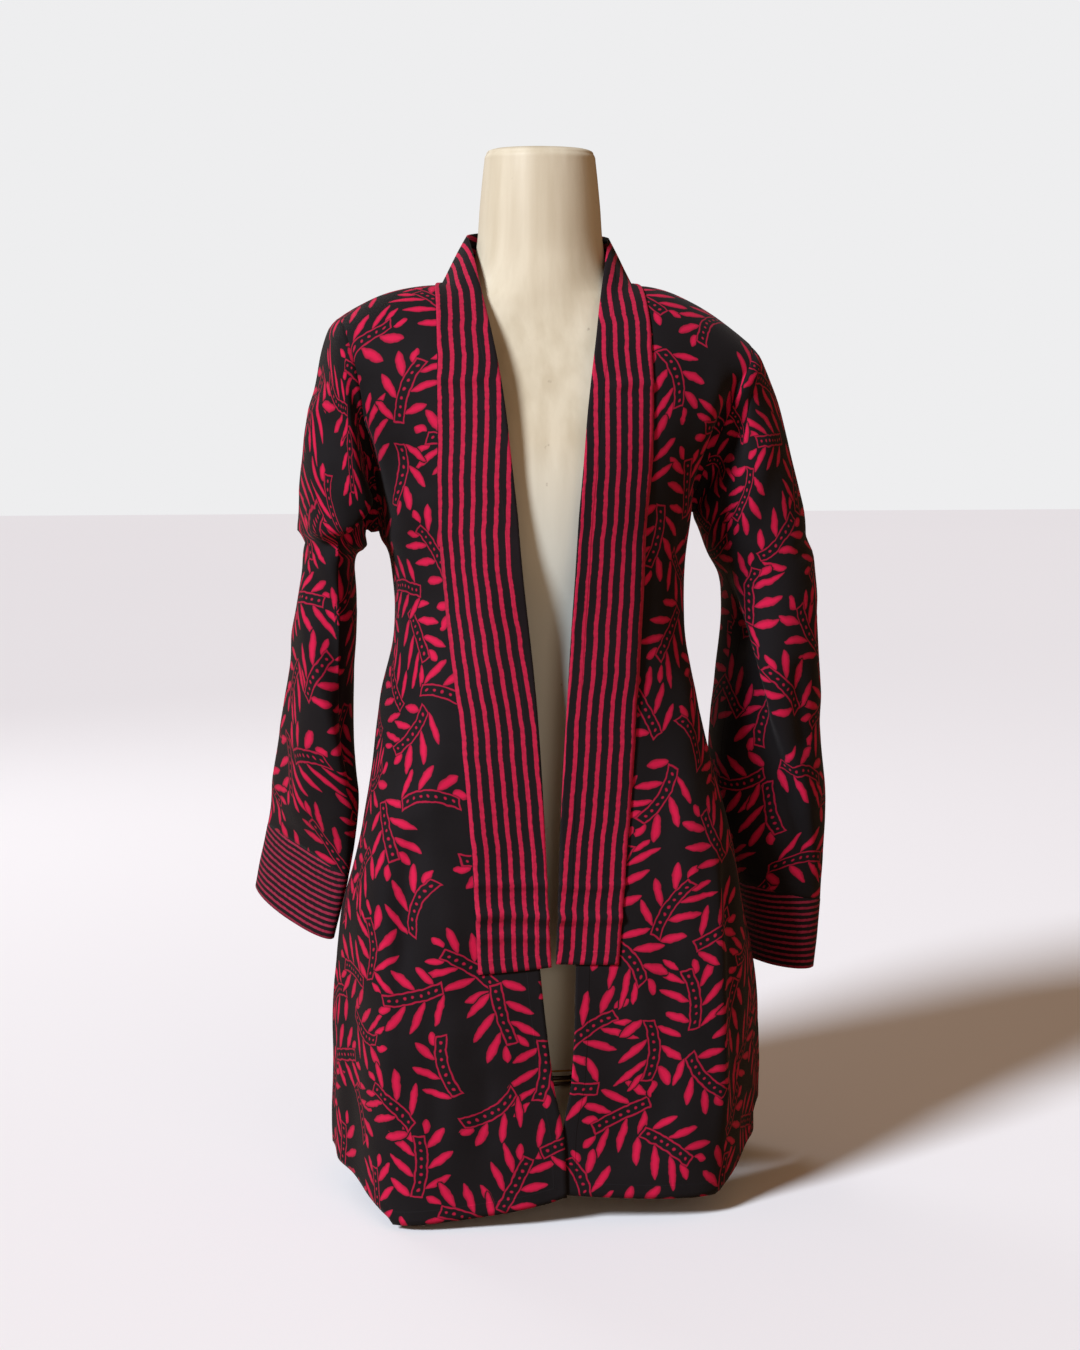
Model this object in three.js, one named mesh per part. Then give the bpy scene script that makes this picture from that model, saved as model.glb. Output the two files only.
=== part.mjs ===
// A kimono cardigan of printed cotton, worn by a limbless dress form with a tall neck.
// Millimetres, +Z up, the front faces -Y, the origin is on the floor under the form.
// The garment's panels are walls round one body surface; left and right are the wearer's,
// so the right half lies at negative x.
import * as THREE from 'three';

// ---- driving dimensions ----
const CLOTH = 1.5; // wall of every cloth panel
const SEAM = 0.3; // gap between pieces that are sewn together
const ARMHOLE_SEAM = 0.7; // the same where the walls turn sharply into each other
const UNDERARM = 631; // height where the side seams end and the armholes begin
const HEM = 21; // nominal height of the hem that the body rows run down to
const RIDGE = 837; // height of the shoulder line beside the neck
const ARMHOLE_CURVE_FRONT = 2.2; // how square the front rises to the shoulder, 2 is a plain arch
const ARMHOLE_CURVE_BACK = 3; // the back hangs squarer from the shoulder blades
const NECK_HALF_DEPTH = 64; // from the shoulder line back to the neckline
const BAND_LAP = 8; // how far the band covers the panels round the neck
const COLLAR_HALF_DEPTH = 58; // of the standing top edge of the band
const COLLAR_RISE = 10; // the band stands this much higher at the centre back
const FRONT_LAP = 1.4; // each front steps off the common surface this much where the two cross
const HEM_DIP = 0.7; // power of the hem's run from the front edge down to the front fold
const HEM_RISE = 0.5; // power of its run from the fold back up to the side
const LAP_TOP = 0.24; // share of the body height by which the two fronts have stopped crossing
const LAP_FULL = 0.08; // share of the body height up to which they are a whole step apart

// ---- rows and columns of the faceted cloth ----
const HEM_ROWS = 4; // from the hem up to the lower end of the bands
const BODY_ROWS_COUNT = 8; // from there to the underarm
const ARCH_ROWS = 8; // from the underarm over the shoulder line
const FRONT_COLUMNS = 7; // from the side seam to the band
const BAND_COLUMNS = 2; // from the band's seam to the front edge
const BACK_COLUMNS = 20;
const NECK_STATIONS = 6; // of each band, from the shoulder line to the centre back
const SLEEVE_STEPS = 2; // rows between two sleeve sections
const BAND_END = 0.352; // level where the bands stop, as a share of the body height

// Body sections. Half widths, side depths and front tapers are given for the wearer's right
// and left, front and back are the depths of the two faces, nFront and nBack their squareness.
const BODY_COLUMNS = [
  'z', 'rightX', 'leftX', 'rightY', 'leftY', 'front', 'back', 'rightTaper', 'leftTaper', 'nFront', 'nBack',
];
const BODY_ROWS = [
  [21, 192, 229, 40, 82, -137, 168, 0.17, 0.33, 9, 1.8],
  [106, 193, 219, 22, 42, -137, 156, 0.17, 0.29, 8.5, 1.8],
  [186, 192, 207, 5, 12, -137, 145, 0.15, 0.22, 7.5, 1.75],
  [256, 186, 191, -8, -6, -136, 134, 0.08, 0.14, 6, 1.7],
  [326, 168, 171, -6, -4, -133, 124, -0.02, 0.02, 4.6, 1.8],
  [396, 156, 154, -2, 0, -130, 112, -0.03, 0, 3.6, 2.1],
  [466, 146, 138, 0, 0, -129, 102, 0, 0, 3, 2.2],
  [526, 134, 129, 0, 0, -130, 96, 0, 0, 2.7, 2.2],
  [586, 137, 131, 0, 0, -133, 101, 0, 0, 2.5, 2.3],
  [631, 148, 137, 0, 0, -134, 108, 0, 0, 2.4, 2.4],
];

// Front edges. h is 0 at the hem, 1 at the underarm and 2 on the shoulder line.
// outer and inner are the band's two edges, edge is the front panel's own edge under it,
// rise is how far the band's inner edge stands up from the body surface at the neck.
const EDGE_COLUMNS = [
  'h', 'rightOuter', 'rightEdge', 'rightInner', 'leftOuter', 'leftEdge', 'leftInner', 'rise',
];
const EDGE_ROWS = [
  [0, -66, 5, 12, 44, 1, -8, 0],
  [0.095, -68, 2, 8, 46, 1.5, -8, 0],
  [0.177, -70, -7, 2, 47, 9, -8, 0],
  [0.352, -74, -19, -9, 51, 13, -5, 0],
  [0.574, -81, -27, -15, 62, 14, 0, 0],
  [0.751, -90, -35, -22, 69, 20, 6, 0],
  [0.946, -101, -48, -35, 75, 27, 13, 0],
  [1.108, -104, -55, -42, 81, 33, 19, 0],
  [1.281, -104, -61, -47, 84, 40, 25, 0],
  [1.542, -103, -71, -55, 86, 53, 37, 0],
  [1.739, -101, -80, -59, 87, 68, 46, 2],
  [1.87, -99, -85, -63, 89, 78, 55, 22],
  [2, -97, -89, -65, 92, 84, 62, 41],
];

// Shoulder line and hem of each half: tip is the shoulder tip's x, the line drops from the
// neck as drop * distance ** power, and the hem's height is given at the front edge, the front
// fold, the side and the centre back.
const HALVES = {
  right: { sign: -1, tip: 184, drop: 0.0014, power: 2.2, hem: [27, 5, 35, 28] },
  left: { sign: 1, tip: 190, drop: 0.019, power: 1.72, hem: [30, 20, 50, 28] },
};
const NECK_POINT = 90; // x where the shoulder line starts to drop

// Standing folds of the skirt: where each lies (degrees from the middle of its face towards
// the side) at its top and at the hem, the level where it starts, its half width and height.
const FOLD_COLUMNS = ['face', 'half', 'top', 'foot', 'from', 'width', 'height'];
const FOLDS = [
  ['back', 'right', 14, 22, 0.85, 9, 11],
  ['back', 'right', 48, 56, 0.7, 9, 12],
  ['back', 'left', 10, 17, 0.8, 8, 9],
  ['back', 'left', 42, 50, 0.75, 9, 13],
  ['front', 'right', 78, 76, 0.55, 7, 6],
  ['front', 'left', 72, 68, 0.5, 6, 5],
];

// Sleeve sections from the armhole down, in outward x. Each is a flat oval: half width across,
// half depth, turn of its long axis in degrees, rise of its outer edge and dip of its front end.
const SLEEVE_COLUMNS = ['x', 'y', 'z', 'halfWidth', 'halfDepth', 'turn', 'rise', 'dip'];
const SLEEVES = {
  right: [
    [180, 2, 692, 23, 71, 0, 62, 0],
    [184, 8, 664, 28, 70, 0, 47, 0],
    [188, 12, 631, 29, 68, 0, 25, 0],
    [191, 16, 594, 25, 68, 2, 9, 0],
    [193, 22, 533, 26, 72, 4, 3, 0],
    [202, 31, 441, 29, 70, 14, 0, 5],
    [207, 40, 371, 28, 64, 26, 0, 11],
    [214, 60, 311, 18, 61, 32, 0, 15],
    [226, 66, 253, 17, 60, 32, 0, 18],
  ],
  left: [
    [180, 2, 688, 34, 71, 0, 60, 0],
    [191, 8, 657, 39, 72, 0, 43, 0],
    [204, 12, 616, 42, 72, 0, 25, 0],
    [217, 18, 575, 42, 72, 0, 7, 0],
    [220, 22, 535, 41, 71, 0, 2, 0],
    [219, 26, 480, 45, 70, 2, 0, 0],
    [221, 34, 406, 50, 66, 8, 0, 0],
    [225, 42, 336, 52, 62, 14, 0, 0],
    [235, 45, 266, 36, 58, 18, 0, 0],
    [237, 46, 198, 23, 56, 18, 0, 0],
  ],
};
const ARMHOLE_STUB = { out: 7, down: 8 }; // the sleeve first leaves the armhole this way

// Dress form sections: half width, front y, back y and squareness.
const FORM_COLUMNS = ['z', 'halfX', 'front', 'back', 'n'];
const TORSO_ROWS = [
  [126, 139, -92, 100, 2.3],
  [200, 144, -97, 108, 2.3],
  [290, 146, -100, 108, 2.3],
  [380, 136, -100, 94, 2.3],
  [470, 118, -96, 78, 2.3],
  [530, 114, -98, 74, 2.3],
  [600, 124, -116, 82, 2.3],
  [660, 134, -120, 90, 2.4],
  [710, 146, -108, 94, 2.5],
  [750, 158, -90, 90, 2.6],
  [780, 164, -74, 80, 2.5],
  [800, 156, -64, 70, 2.3],
  [814, 134, -59, 62, 2.1],
  [824, 106, -57, 58, 2],
  [832, 80, -56, 56, 2],
  [846, 65, -54, 54, 2],
  [870, 58, -50, 51, 2],
  [910, 54.5, -48, 49, 2],
  [948, 50.5, -45, 46, 2],
  [954, 49, -43, 44, 2],
  [959, 42, -35, 37, 2],
  [960, 20, -14, 16, 2],
];
const RING_ROWS = [
  [116.3, 137, -90, 98, 2.3],
  [119, 139.5, -92.5, 100.5, 2.3],
  [123, 139.5, -92.5, 100.5, 2.3],
  [125.7, 137, -90, 98, 2.3],
];
const LOWER_ROWS = [
  [12.3, 96, -36, 72, 2.2],
  [30, 104, -44, 78, 2.2],
  [60, 124, -66, 90, 2.3],
  [90, 134, -84, 96, 2.3],
  [116, 138, -91, 99, 2.3],
];
const BASE_ROWS = [
  [0, 118, -48, 88, 2.2],
  [9, 118, -48, 88, 2.2],
  [12, 115, -45, 85, 2.2],
];
const FORM_SIDES = 36;

// ---- small tools ----
const QUARTER = Math.PI / 2;
const PASSES = 8; // of the two searches along the surface
const toRadians = THREE.MathUtils.degToRad;

// Named values of a table at a key, on a smooth curve through its rows.
function readTable(rows, columns, key) {
  const last = rows.length - 1;
  const rising = rows[last][0] > rows[0][0];
  const isPast = (row) => (rising ? key > row[0] : key < row[0]);
  let i = 0;
  while (i < last - 1 && isPast(rows[i + 1])) {
    i += 1;
  }
  const before = rows[Math.max(i - 1, 0)];
  const a = rows[i];
  const b = rows[i + 1];
  const after = rows[Math.min(i + 2, last)];
  const span = b[0] - a[0];
  const t = THREE.MathUtils.clamp((key - a[0]) / span, 0, 1);
  const values = {};
  columns.forEach((name, k) => {
    const slopeA = ((b[k] - before[k]) / (b[0] - before[0])) * span;
    const slopeB = ((after[k] - a[k]) / (after[0] - a[0])) * span;
    const bend = (1 - t) * (slopeA * (1 - t) - slopeB * t) + (b[k] - a[k]) * (2 * t - 1) * (1 - t);
    const line = a[k] + (b[k] - a[k]) * t;
    values[name] = line + t * bend;
  });
  return values;
}

// A square-shouldered oval: u across and v ahead, at an angle from straight ahead.
function oval(angle, n) {
  const across = Math.sin(angle);
  const ahead = Math.cos(angle);
  const r = (Math.abs(across) ** n + Math.abs(ahead) ** n) ** (-1 / n);
  return { u: across * r, v: ahead * r };
}

function smooth(t) {
  const s = THREE.MathUtils.clamp(t, 0, 1);
  return s * s * (3 - 2 * s);
}

// ---- the body surface ----

// Height of the shoulder line at a distance from the middle.
function ridgeHeight(half, x) {
  return RIDGE - half.drop * Math.max(Math.abs(x) - NECK_POINT, 0) ** half.power;
}

// Height of the hem: its four named heights, eased into each other round the half.
function hemHeight(half, face, angle) {
  const [edge, fold, side, centre] = half.hem;
  const share = Math.max(angle / QUARTER, 0);
  if (face === 'back') return centre + (side - centre) * smooth(share);
  const fromFold = share * 2 - 1;
  if (fromFold < 0) return edge + (fold - edge) * (share * 2) ** HEM_DIP;
  return fold + (side - fold) * fromFold ** HEM_RISE;
}

// How far the standing folds lift the skirt off its plain surface at a place.
function foldHeight(face, halfName, angle, h) {
  let height = 0;
  for (const row of FOLDS) {
    const fold = Object.fromEntries(FOLD_COLUMNS.map((name, k) => [name, row[k]]));
    if (fold.face !== face || fold.half !== halfName || h >= fold.from) continue;
    const grown = smooth(1 - h / fold.from);
    const centre = toRadians(fold.foot + (fold.top - fold.foot) * (h / fold.from));
    const offset = (angle - centre) / toRadians(fold.width);
    height += fold.height * grown * Math.exp(-offset * offset);
  }
  return height;
}

// One point of the body: the angle is 0 in the middle of the face and a right angle at the side.
function bodyPoint(halfName, face, angle, h) {
  const half = HALVES[halfName];
  const ahead = face === 'front' ? -1 : 1;
  const level = HEM + (UNDERARM - HEM) * Math.min(h, 1);
  const row = readTable(BODY_ROWS, BODY_COLUMNS, level);
  const n = face === 'front' ? row.nFront : row.nBack;
  const { u, v } = oval(angle, n);
  const depth = face === 'front' ? row.front : row.back;
  const point = new THREE.Vector3();
  if (h <= 1) {
    const sideY = row[`${halfName}Y`];
    const taper = face === 'front' ? row[`${halfName}Taper`] : 0;
    const fold = foldHeight(face, halfName, angle, h);
    point.x = half.sign * (row[`${halfName}X`] * u * (1 - taper * v) + fold * Math.sin(angle));
    point.y = sideY + (depth - sideY) * v + ahead * fold * Math.cos(angle);
    point.z = level + (hemHeight(half, face, angle) - HEM) * (1 - h) ** 2;
  } else {
    const arch = (h - 1) * QUARTER;
    const m = face === 'front' ? ARMHOLE_CURVE_FRONT : ARMHOLE_CURVE_BACK;
    const up = Math.sin(arch);
    const width = row[`${halfName}X`] + (half.tip - row[`${halfName}X`]) * up;
    point.x = half.sign * width * u;
    const fullness = (1 - Math.abs(u) ** n * (1 - up * up)) ** (1 / n);
    point.y = depth * fullness * Math.max(Math.cos(arch), 0) ** (2 / m);
    point.z = UNDERARM + (ridgeHeight(half, point.x) - UNDERARM) * up ** (2 / m);
  }
  point.y += ahead * SEAM / 2;
  return point;
}

// The angle at which the front reaches a given x.
function angleAt(halfName, x, h) {
  const half = HALVES[halfName];
  const row = readTable(BODY_ROWS, BODY_COLUMNS, HEM + (UNDERARM - HEM) * Math.min(h, 1));
  const up = Math.sin(Math.max(h - 1, 0) * QUARTER);
  const width = row[`${halfName}X`] + (half.tip - row[`${halfName}X`]) * up;
  const taper = h <= 1 ? row[`${halfName}Taper`] : 0;
  let v = 1;
  let u = 0;
  for (let pass = 0; pass < PASSES; pass += 1) {
    u = Math.min((half.sign * x) / (width * (1 - taper * v)), 1);
    v = (1 - Math.abs(u) ** row.nFront) ** (1 / row.nFront);
  }
  return Math.atan2(u, v);
}

// Levels of the rows from the hem to the shoulder line.
function bodyLevels() {
  const levels = [];
  const addSpan = (from, to, count) => {
    for (let i = 0; i < count; i += 1) {
      levels.push(from + ((to - from) * i) / count);
    }
  };
  addSpan(0, BAND_END, HEM_ROWS);
  addSpan(BAND_END, 1, BODY_ROWS_COUNT);
  addSpan(1, 2, ARCH_ROWS);
  levels.push(2);
  return levels;
}

// ---- walls ----

// Outward normals of a grid of points; facing is 1 or -1.
function gridNormals(grid, facing, closed) {
  return grid.map((row, i) => row.map((_, j) => {
    const above = grid[Math.min(i + 1, grid.length - 1)][j];
    const below = grid[Math.max(i - 1, 0)][j];
    const count = row.length;
    const next = closed ? row[(j + 1) % count] : row[Math.min(j + 1, count - 1)];
    const previous = closed ? row[(j + count - 1) % count] : row[Math.max(j - 1, 0)];
    const up = new THREE.Vector3().subVectors(above, below);
    const across = new THREE.Vector3().subVectors(next, previous);
    return up.cross(across).multiplyScalar(facing).normalize();
  }));
}

// A closed wall of cloth round a grid of middle points and their normals.
function clothWall(grid, normals, closed) {
  const rows = grid.length;
  const columns = grid[0].length;
  const positions = [];
  for (const offset of [CLOTH / 2, -CLOTH / 2]) {
    grid.forEach((row, i) => row.forEach((point, j) => {
      const moved = point.clone().addScaledVector(normals[i][j], offset);
      positions.push(moved.x, moved.y, moved.z);
    }));
  }
  const inner = rows * columns;
  const at = (i, j) => i * columns + (j % columns);
  const indices = [];
  const quad = (a, b, c, d) => indices.push(a, b, c, a, c, d);
  const spans = closed ? columns : columns - 1;
  for (let j = 0; j < spans; j += 1) {
    for (let i = 0; i < rows - 1; i += 1) {
      quad(at(i, j), at(i, j + 1), at(i + 1, j + 1), at(i + 1, j));
      quad(inner + at(i, j), inner + at(i + 1, j), inner + at(i + 1, j + 1), inner + at(i, j + 1));
    }
    quad(at(0, j), inner + at(0, j), inner + at(0, j + 1), at(0, j + 1));
    const top = rows - 1;
    quad(at(top, j), at(top, j + 1), inner + at(top, j + 1), inner + at(top, j));
  }
  if (!closed) {
    for (let i = 0; i < rows - 1; i += 1) {
      const end = columns - 1;
      quad(at(i, 0), at(i + 1, 0), inner + at(i + 1, 0), inner + at(i, 0));
      quad(at(i, end), inner + at(i, end), inner + at(i + 1, end), at(i + 1, end));
    }
  }
  return facingOut(positions, indices);
}

// A geometry whose faces point outwards, whichever way its grid ran.
function facingOut(positions, indices) {
  const a = new THREE.Vector3();
  const b = new THREE.Vector3();
  const c = new THREE.Vector3();
  let volume = 0;
  for (let i = 0; i < indices.length; i += 3) {
    a.fromArray(positions, indices[i] * 3);
    b.fromArray(positions, indices[i + 1] * 3);
    c.fromArray(positions, indices[i + 2] * 3);
    volume += a.dot(b.cross(c));
  }
  const ordered = volume > 0 ? indices : indices.slice().reverse();
  const geometry = new THREE.BufferGeometry();
  geometry.setAttribute('position', new THREE.Float32BufferAttribute(positions, 3));
  geometry.setIndex(ordered);
  geometry.computeVertexNormals();
  return geometry;
}

// ---- panels ----

// Keeps a seam's wall square to it, so that both sides of the seam end in parallel faces.
function squareSeam(normal) {
  normal.y = 0;
  normal.normalize();
}

// The same for the ends of the rows that meet another panel at the side or the shoulder.
function squareSeams(normals, levels, columns) {
  normals.forEach((row, i) => {
    if (levels[i] > 1 && levels[i] < 2) return;
    columns.forEach((j) => squareSeam(row[j]));
  });
}

// A front runs from the side seam to its own edge under the band.
function frontGrid(halfName, levels) {
  return levels.map((h) => {
    const edges = readTable(EDGE_ROWS, EDGE_COLUMNS, h);
    const seam = angleAt(halfName, edges[`${halfName}Outer`], h);
    const edge = angleAt(halfName, edges[`${halfName}Edge`], h);
    const row = [];
    for (let j = 0; j < FRONT_COLUMNS; j += 1) {
      const angle = QUARTER + ((seam - QUARTER) * j) / FRONT_COLUMNS;
      row.push(bodyPoint(halfName, 'front', angle, h));
    }
    for (let j = 0; j <= BAND_COLUMNS; j += 1) {
      const point = bodyPoint(halfName, 'front', seam + ((edge - seam) * j) / BAND_COLUMNS, h);
      point.y += lapStep(halfName, h) * (j / BAND_COLUMNS);
      row.push(point);
    }
    return row;
  });
}

// Near the hem the right front passes over the left one.
function lapStep(halfName, h) {
  return HALVES[halfName].sign * FRONT_LAP * smooth((LAP_TOP - h) / (LAP_TOP - LAP_FULL));
}

// The half and the angle in which a column of the back lies.
function backColumn(j) {
  const share = (2 * j) / BACK_COLUMNS - 1;
  return { halfName: share < 0 ? 'right' : 'left', angle: Math.abs(share) * QUARTER };
}

// The back runs from the right side to the left one and stops at the neckline.
function backGrid(levels) {
  return levels.map((h) => {
    const row = [];
    for (let j = 0; j <= BACK_COLUMNS; j += 1) {
      const { halfName, angle } = backColumn(j);
      const top = neckLevel(halfName, angle);
      const level = h <= 1 ? h : 1 + (h - 1) * (top - 1);
      row.push(bodyPoint(halfName, 'back', angle, level));
    }
    return row;
  });
}

// Half the width of the neckline on a side, where the front's edge meets the shoulder line.
function neckHalfWidth(halfName) {
  return Math.abs(EDGE_ROWS.at(-1)[EDGE_COLUMNS.indexOf(`${halfName}Edge`)]);
}

// The level at which a column of the back reaches the neckline, 2 beside the neck.
function neckLevel(halfName, angle) {
  const backDepth = BODY_ROWS.at(-1)[BODY_COLUMNS.indexOf('back')];
  const reach = neckHalfWidth(halfName);
  let level = 2;
  for (let pass = 0; pass < PASSES; pass += 1) {
    const x = Math.abs(bodyPoint(halfName, 'back', angle, level).x);
    if (x >= reach) return 2;
    const y = NECK_HALF_DEPTH * Math.sqrt(1 - (x / reach) ** 2);
    level = 1 + Math.acos((y / backDepth) ** (ARMHOLE_CURVE_BACK / 2)) / QUARTER;
  }
  return level;
}

// ---- sleeves ----

// Key rings of a sleeve: the armhole, a short stub and the sections of the table.
function sleeveKeys(halfName) {
  const half = HALVES[halfName];
  const armhole = [];
  for (let i = 0; i < 2 * ARCH_ROWS; i += 1) {
    const face = i < ARCH_ROWS ? 'front' : 'back';
    const up = Math.abs(ARCH_ROWS - i) / ARCH_ROWS;
    armhole.push(bodyPoint(halfName, face, QUARTER, 1 + up));
  }
  const keys = [armhole];
  keys.push(armhole.map((point) => new THREE.Vector3(
    point.x + half.sign * ARMHOLE_STUB.out,
    point.y,
    point.z - ARMHOLE_STUB.down,
  )));
  for (const values of SLEEVES[halfName]) {
    const s = Object.fromEntries(SLEEVE_COLUMNS.map((name, k) => [name, values[k]]));
    const turn = toRadians(s.turn);
    keys.push(armhole.map((_, i) => {
      const around = (QUARTER * 2 * i) / ARCH_ROWS;
      const out = s.halfWidth * Math.cos(around);
      const ahead = s.halfDepth * Math.sin(around);
      return new THREE.Vector3(
        half.sign * (s.x + out * Math.cos(turn)) + ahead * Math.sin(turn),
        s.y - ahead * Math.cos(turn) + half.sign * out * Math.sin(turn),
        s.z + s.rise * Math.cos(around) - s.dip * Math.sin(around),
      );
    }));
  }
  return keys;
}

// Rings between key rings, each point on a smooth curve through the keys.
function blendRings(keys, from, to, steps) {
  const curves = keys[0].map((_, i) => {
    const points = keys.map((ring) => ring[i]);
    return new THREE.CatmullRomCurve3(points, false, 'centripetal');
  });
  const rings = [];
  const last = keys.length - 1;
  for (let k = 0; k <= (to - from) * steps; k += 1) {
    rings.push(curves.map((curve) => curve.getPoint((from + k / steps) / last)));
  }
  return rings;
}

// Joins a sleeve's first ring to the armhole: the body panels and the sleeve share one wall
// direction there, so that both end in the same mitred face, and the ring is set off by the seam.
function joinArmhole(half, ring, ringNormals, bodyNormals) {
  const offsets = ring.map((_, i) => {
    const body = bodyNormals[i];
    const shared = new THREE.Vector3().addVectors(body, ringNormals[i]).normalize();
    body.copy(shared);
    ringNormals[i].copy(shared);
    const next = ring[(i + 1) % ring.length];
    const previous = ring[(i + ring.length - 1) % ring.length];
    const away = new THREE.Vector3().subVectors(next, previous).cross(shared).normalize();
    return away.multiplyScalar(Math.sign(away.x) * half.sign * ARMHOLE_SEAM);
  });
  ring.forEach((point, i) => point.add(offsets[i]));
}

// ---- bands ----

// A band lies on its front, its points are the panel's own moved out, and stands round the neck.
function bandGrid(halfName, levels, front, frontNormals) {
  const half = HALVES[halfName];
  const lift = CLOTH + SEAM;
  const grid = [];
  levels.forEach((h, i) => {
    if (h < BAND_END) return;
    const edges = readTable(EDGE_ROWS, EDGE_COLUMNS, h);
    const row = [];
    for (let j = FRONT_COLUMNS; j <= FRONT_COLUMNS + BAND_COLUMNS; j += 1) {
      row.push(front[i][j].clone().addScaledVector(frontNormals[i][j], lift));
    }
    const angle = angleAt(halfName, edges[`${halfName}Inner`], h);
    const inner = bodyPoint(halfName, 'front', angle, h);
    inner.y -= lift * (2 - Math.max(h, 1));
    inner.z += edges.rise + lift * (Math.max(h, 1) - 1);
    row.push(inner);
    grid.push(row);
  });
  const end = readTable(EDGE_ROWS, EDGE_COLUMNS, 2);
  const outer = Math.abs(end[`${halfName}Outer`]);
  const edge = Math.abs(end[`${halfName}Edge`]);
  const inner = Math.abs(end[`${halfName}Inner`]);
  for (let k = 1; k <= NECK_STATIONS; k += 1) {
    const turn = (k / NECK_STATIONS) * QUARTER;
    const row = [];
    for (let j = 0; j <= BAND_COLUMNS; j += 1) {
      const lap = BAND_LAP * (1 - j / BAND_COLUMNS);
      const x = (edge + ((outer - edge) * lap) / BAND_LAP) * Math.cos(turn);
      const y = (NECK_HALF_DEPTH + lap) * Math.sin(turn);
      row.push(neckPoint(half, x, y, lift + SEAM));
    }
    row.push(new THREE.Vector3(
      half.sign * inner * Math.cos(turn),
      COLLAR_HALF_DEPTH * Math.sin(turn),
      RIDGE + end.rise + COLLAR_RISE * Math.sin(turn) + lift,
    ));
    grid.push(row);
  }
  grid.at(-1).forEach((point) => {
    point.x += (half.sign * SEAM) / 2;
  });
  return grid;
}

// A point of the back near the neckline, moved out of the surface.
function neckPoint(half, x, y, lift) {
  const backDepth = BODY_ROWS.at(-1)[BODY_COLUMNS.indexOf('back')];
  const m = ARMHOLE_CURVE_BACK;
  const share = y / backDepth;
  const height = (1 - share ** m) ** (1 / m);
  const slope = (share / height) ** (m - 1) * ((RIDGE - UNDERARM) / backDepth);
  const length = Math.hypot(1, slope);
  return new THREE.Vector3(
    half.sign * x,
    y + (lift * slope) / length,
    UNDERARM + (ridgeHeight(half, x) - UNDERARM) * height + lift / length,
  );
}

// ---- the dress form ----

// A closed solid through oval sections, capped flat at both ends.
function formSolid(rows) {
  const sections = rows.map((row) => readTable(rows, FORM_COLUMNS, row[0]));
  const positions = [];
  for (const s of sections) {
    for (let j = 0; j < FORM_SIDES; j += 1) {
      const angle = (2 * Math.PI * j) / FORM_SIDES;
      const { u, v } = oval(angle, s.n);
      positions.push(s.halfX * u, v > 0 ? s.back * v : -s.front * v, s.z);
    }
  }
  const indices = [];
  const top = sections.length - 1;
  for (let i = 0; i < top; i += 1) {
    for (let j = 0; j < FORM_SIDES; j += 1) {
      const a = i * FORM_SIDES + j;
      const b = i * FORM_SIDES + ((j + 1) % FORM_SIDES);
      indices.push(a, b, b + FORM_SIDES, a, b + FORM_SIDES, a + FORM_SIDES);
    }
  }
  for (const [section, flip] of [[0, true], [top, false]]) {
    const first = section * FORM_SIDES;
    for (let j = 1; j < FORM_SIDES - 1; j += 1) {
      const fan = [first, first + j, first + j + 1];
      indices.push(...(flip ? fan.reverse() : fan));
    }
  }
  return facingOut(positions, indices);
}

// ---- assembly ----
const printed = new THREE.MeshStandardMaterial({ color: 0x1b1418, roughness: 0.75 });
const striped = new THREE.MeshStandardMaterial({ color: 0x7a1630, roughness: 0.75 });
const enamel = new THREE.MeshStandardMaterial({ color: 0xe9dcc0, roughness: 0.45 });
const darkRing = new THREE.MeshStandardMaterial({ color: 0x2b2420, roughness: 0.4, metalness: 0.3 });

const cardigan = new THREE.Group();

function addPiece(name, geometry, material) {
  const mesh = new THREE.Mesh(geometry, material);
  mesh.name = name;
  cardigan.add(mesh);
}

const levels = bodyLevels();
const back = backGrid(levels);
const backNormals = gridNormals(back, 1, false);
squareSeams(backNormals, levels, [0, BACK_COLUMNS]);

for (const halfName of ['right', 'left']) {
  const half = HALVES[halfName];
  const front = frontGrid(halfName, levels);
  const frontNormals = gridNormals(front, half.sign, false);
  squareSeams(frontNormals, levels, [0]);
  frontNormals.at(-1).forEach(squareSeam);

  // the sleeve and its cuff
  const keys = sleeveKeys(halfName);
  const cuffKey = keys.length - 2;
  const sleeve = blendRings(keys, 0, cuffKey, SLEEVE_STEPS);
  const sleeveNormals = gridNormals(sleeve, -half.sign, true);
  const backSide = halfName === 'right' ? 0 : BACK_COLUMNS;
  const firstArch = levels.indexOf(1);
  const bodyNormals = sleeve[0].map((_, i) => {
    const row = firstArch + Math.abs(ARCH_ROWS - i);
    return i < ARCH_ROWS ? frontNormals[row][0] : backNormals[row][backSide];
  });
  joinArmhole(half, sleeve[0], sleeveNormals[0], bodyNormals);

  const cuff = blendRings(keys, cuffKey, cuffKey + 1, SLEEVE_STEPS);
  const cuffNormals = gridNormals(cuff, -half.sign, true);
  cuff[0].forEach((point) => {
    point.z -= SEAM;
  });

  const band = bandGrid(halfName, levels, front, frontNormals);
  const bandNormals = gridNormals(band, half.sign, false);

  addPiece(`front_${halfName}`, clothWall(front, frontNormals, false), printed);
  addPiece(`sleeve_${halfName}`, clothWall(sleeve, sleeveNormals, true), printed);
  addPiece(`cuff_${halfName}`, clothWall(cuff, cuffNormals, true), striped);
  addPiece(`band_${halfName}`, clothWall(band, bandNormals, false), striped);
}
backNormals.at(-1).forEach((normal, j) => {
  const { halfName, angle } = backColumn(j);
  if (neckLevel(halfName, angle) === 2) squareSeam(normal);
});
addPiece('back', clothWall(back, backNormals, false), printed);

addPiece('dress_form', formSolid(TORSO_ROWS), enamel);
addPiece('form_ring', formSolid(RING_ROWS), darkRing);
addPiece('form_lower', formSolid(LOWER_ROWS), enamel);
addPiece('form_base', formSolid(BASE_ROWS), enamel);

export default cardigan;
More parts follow.
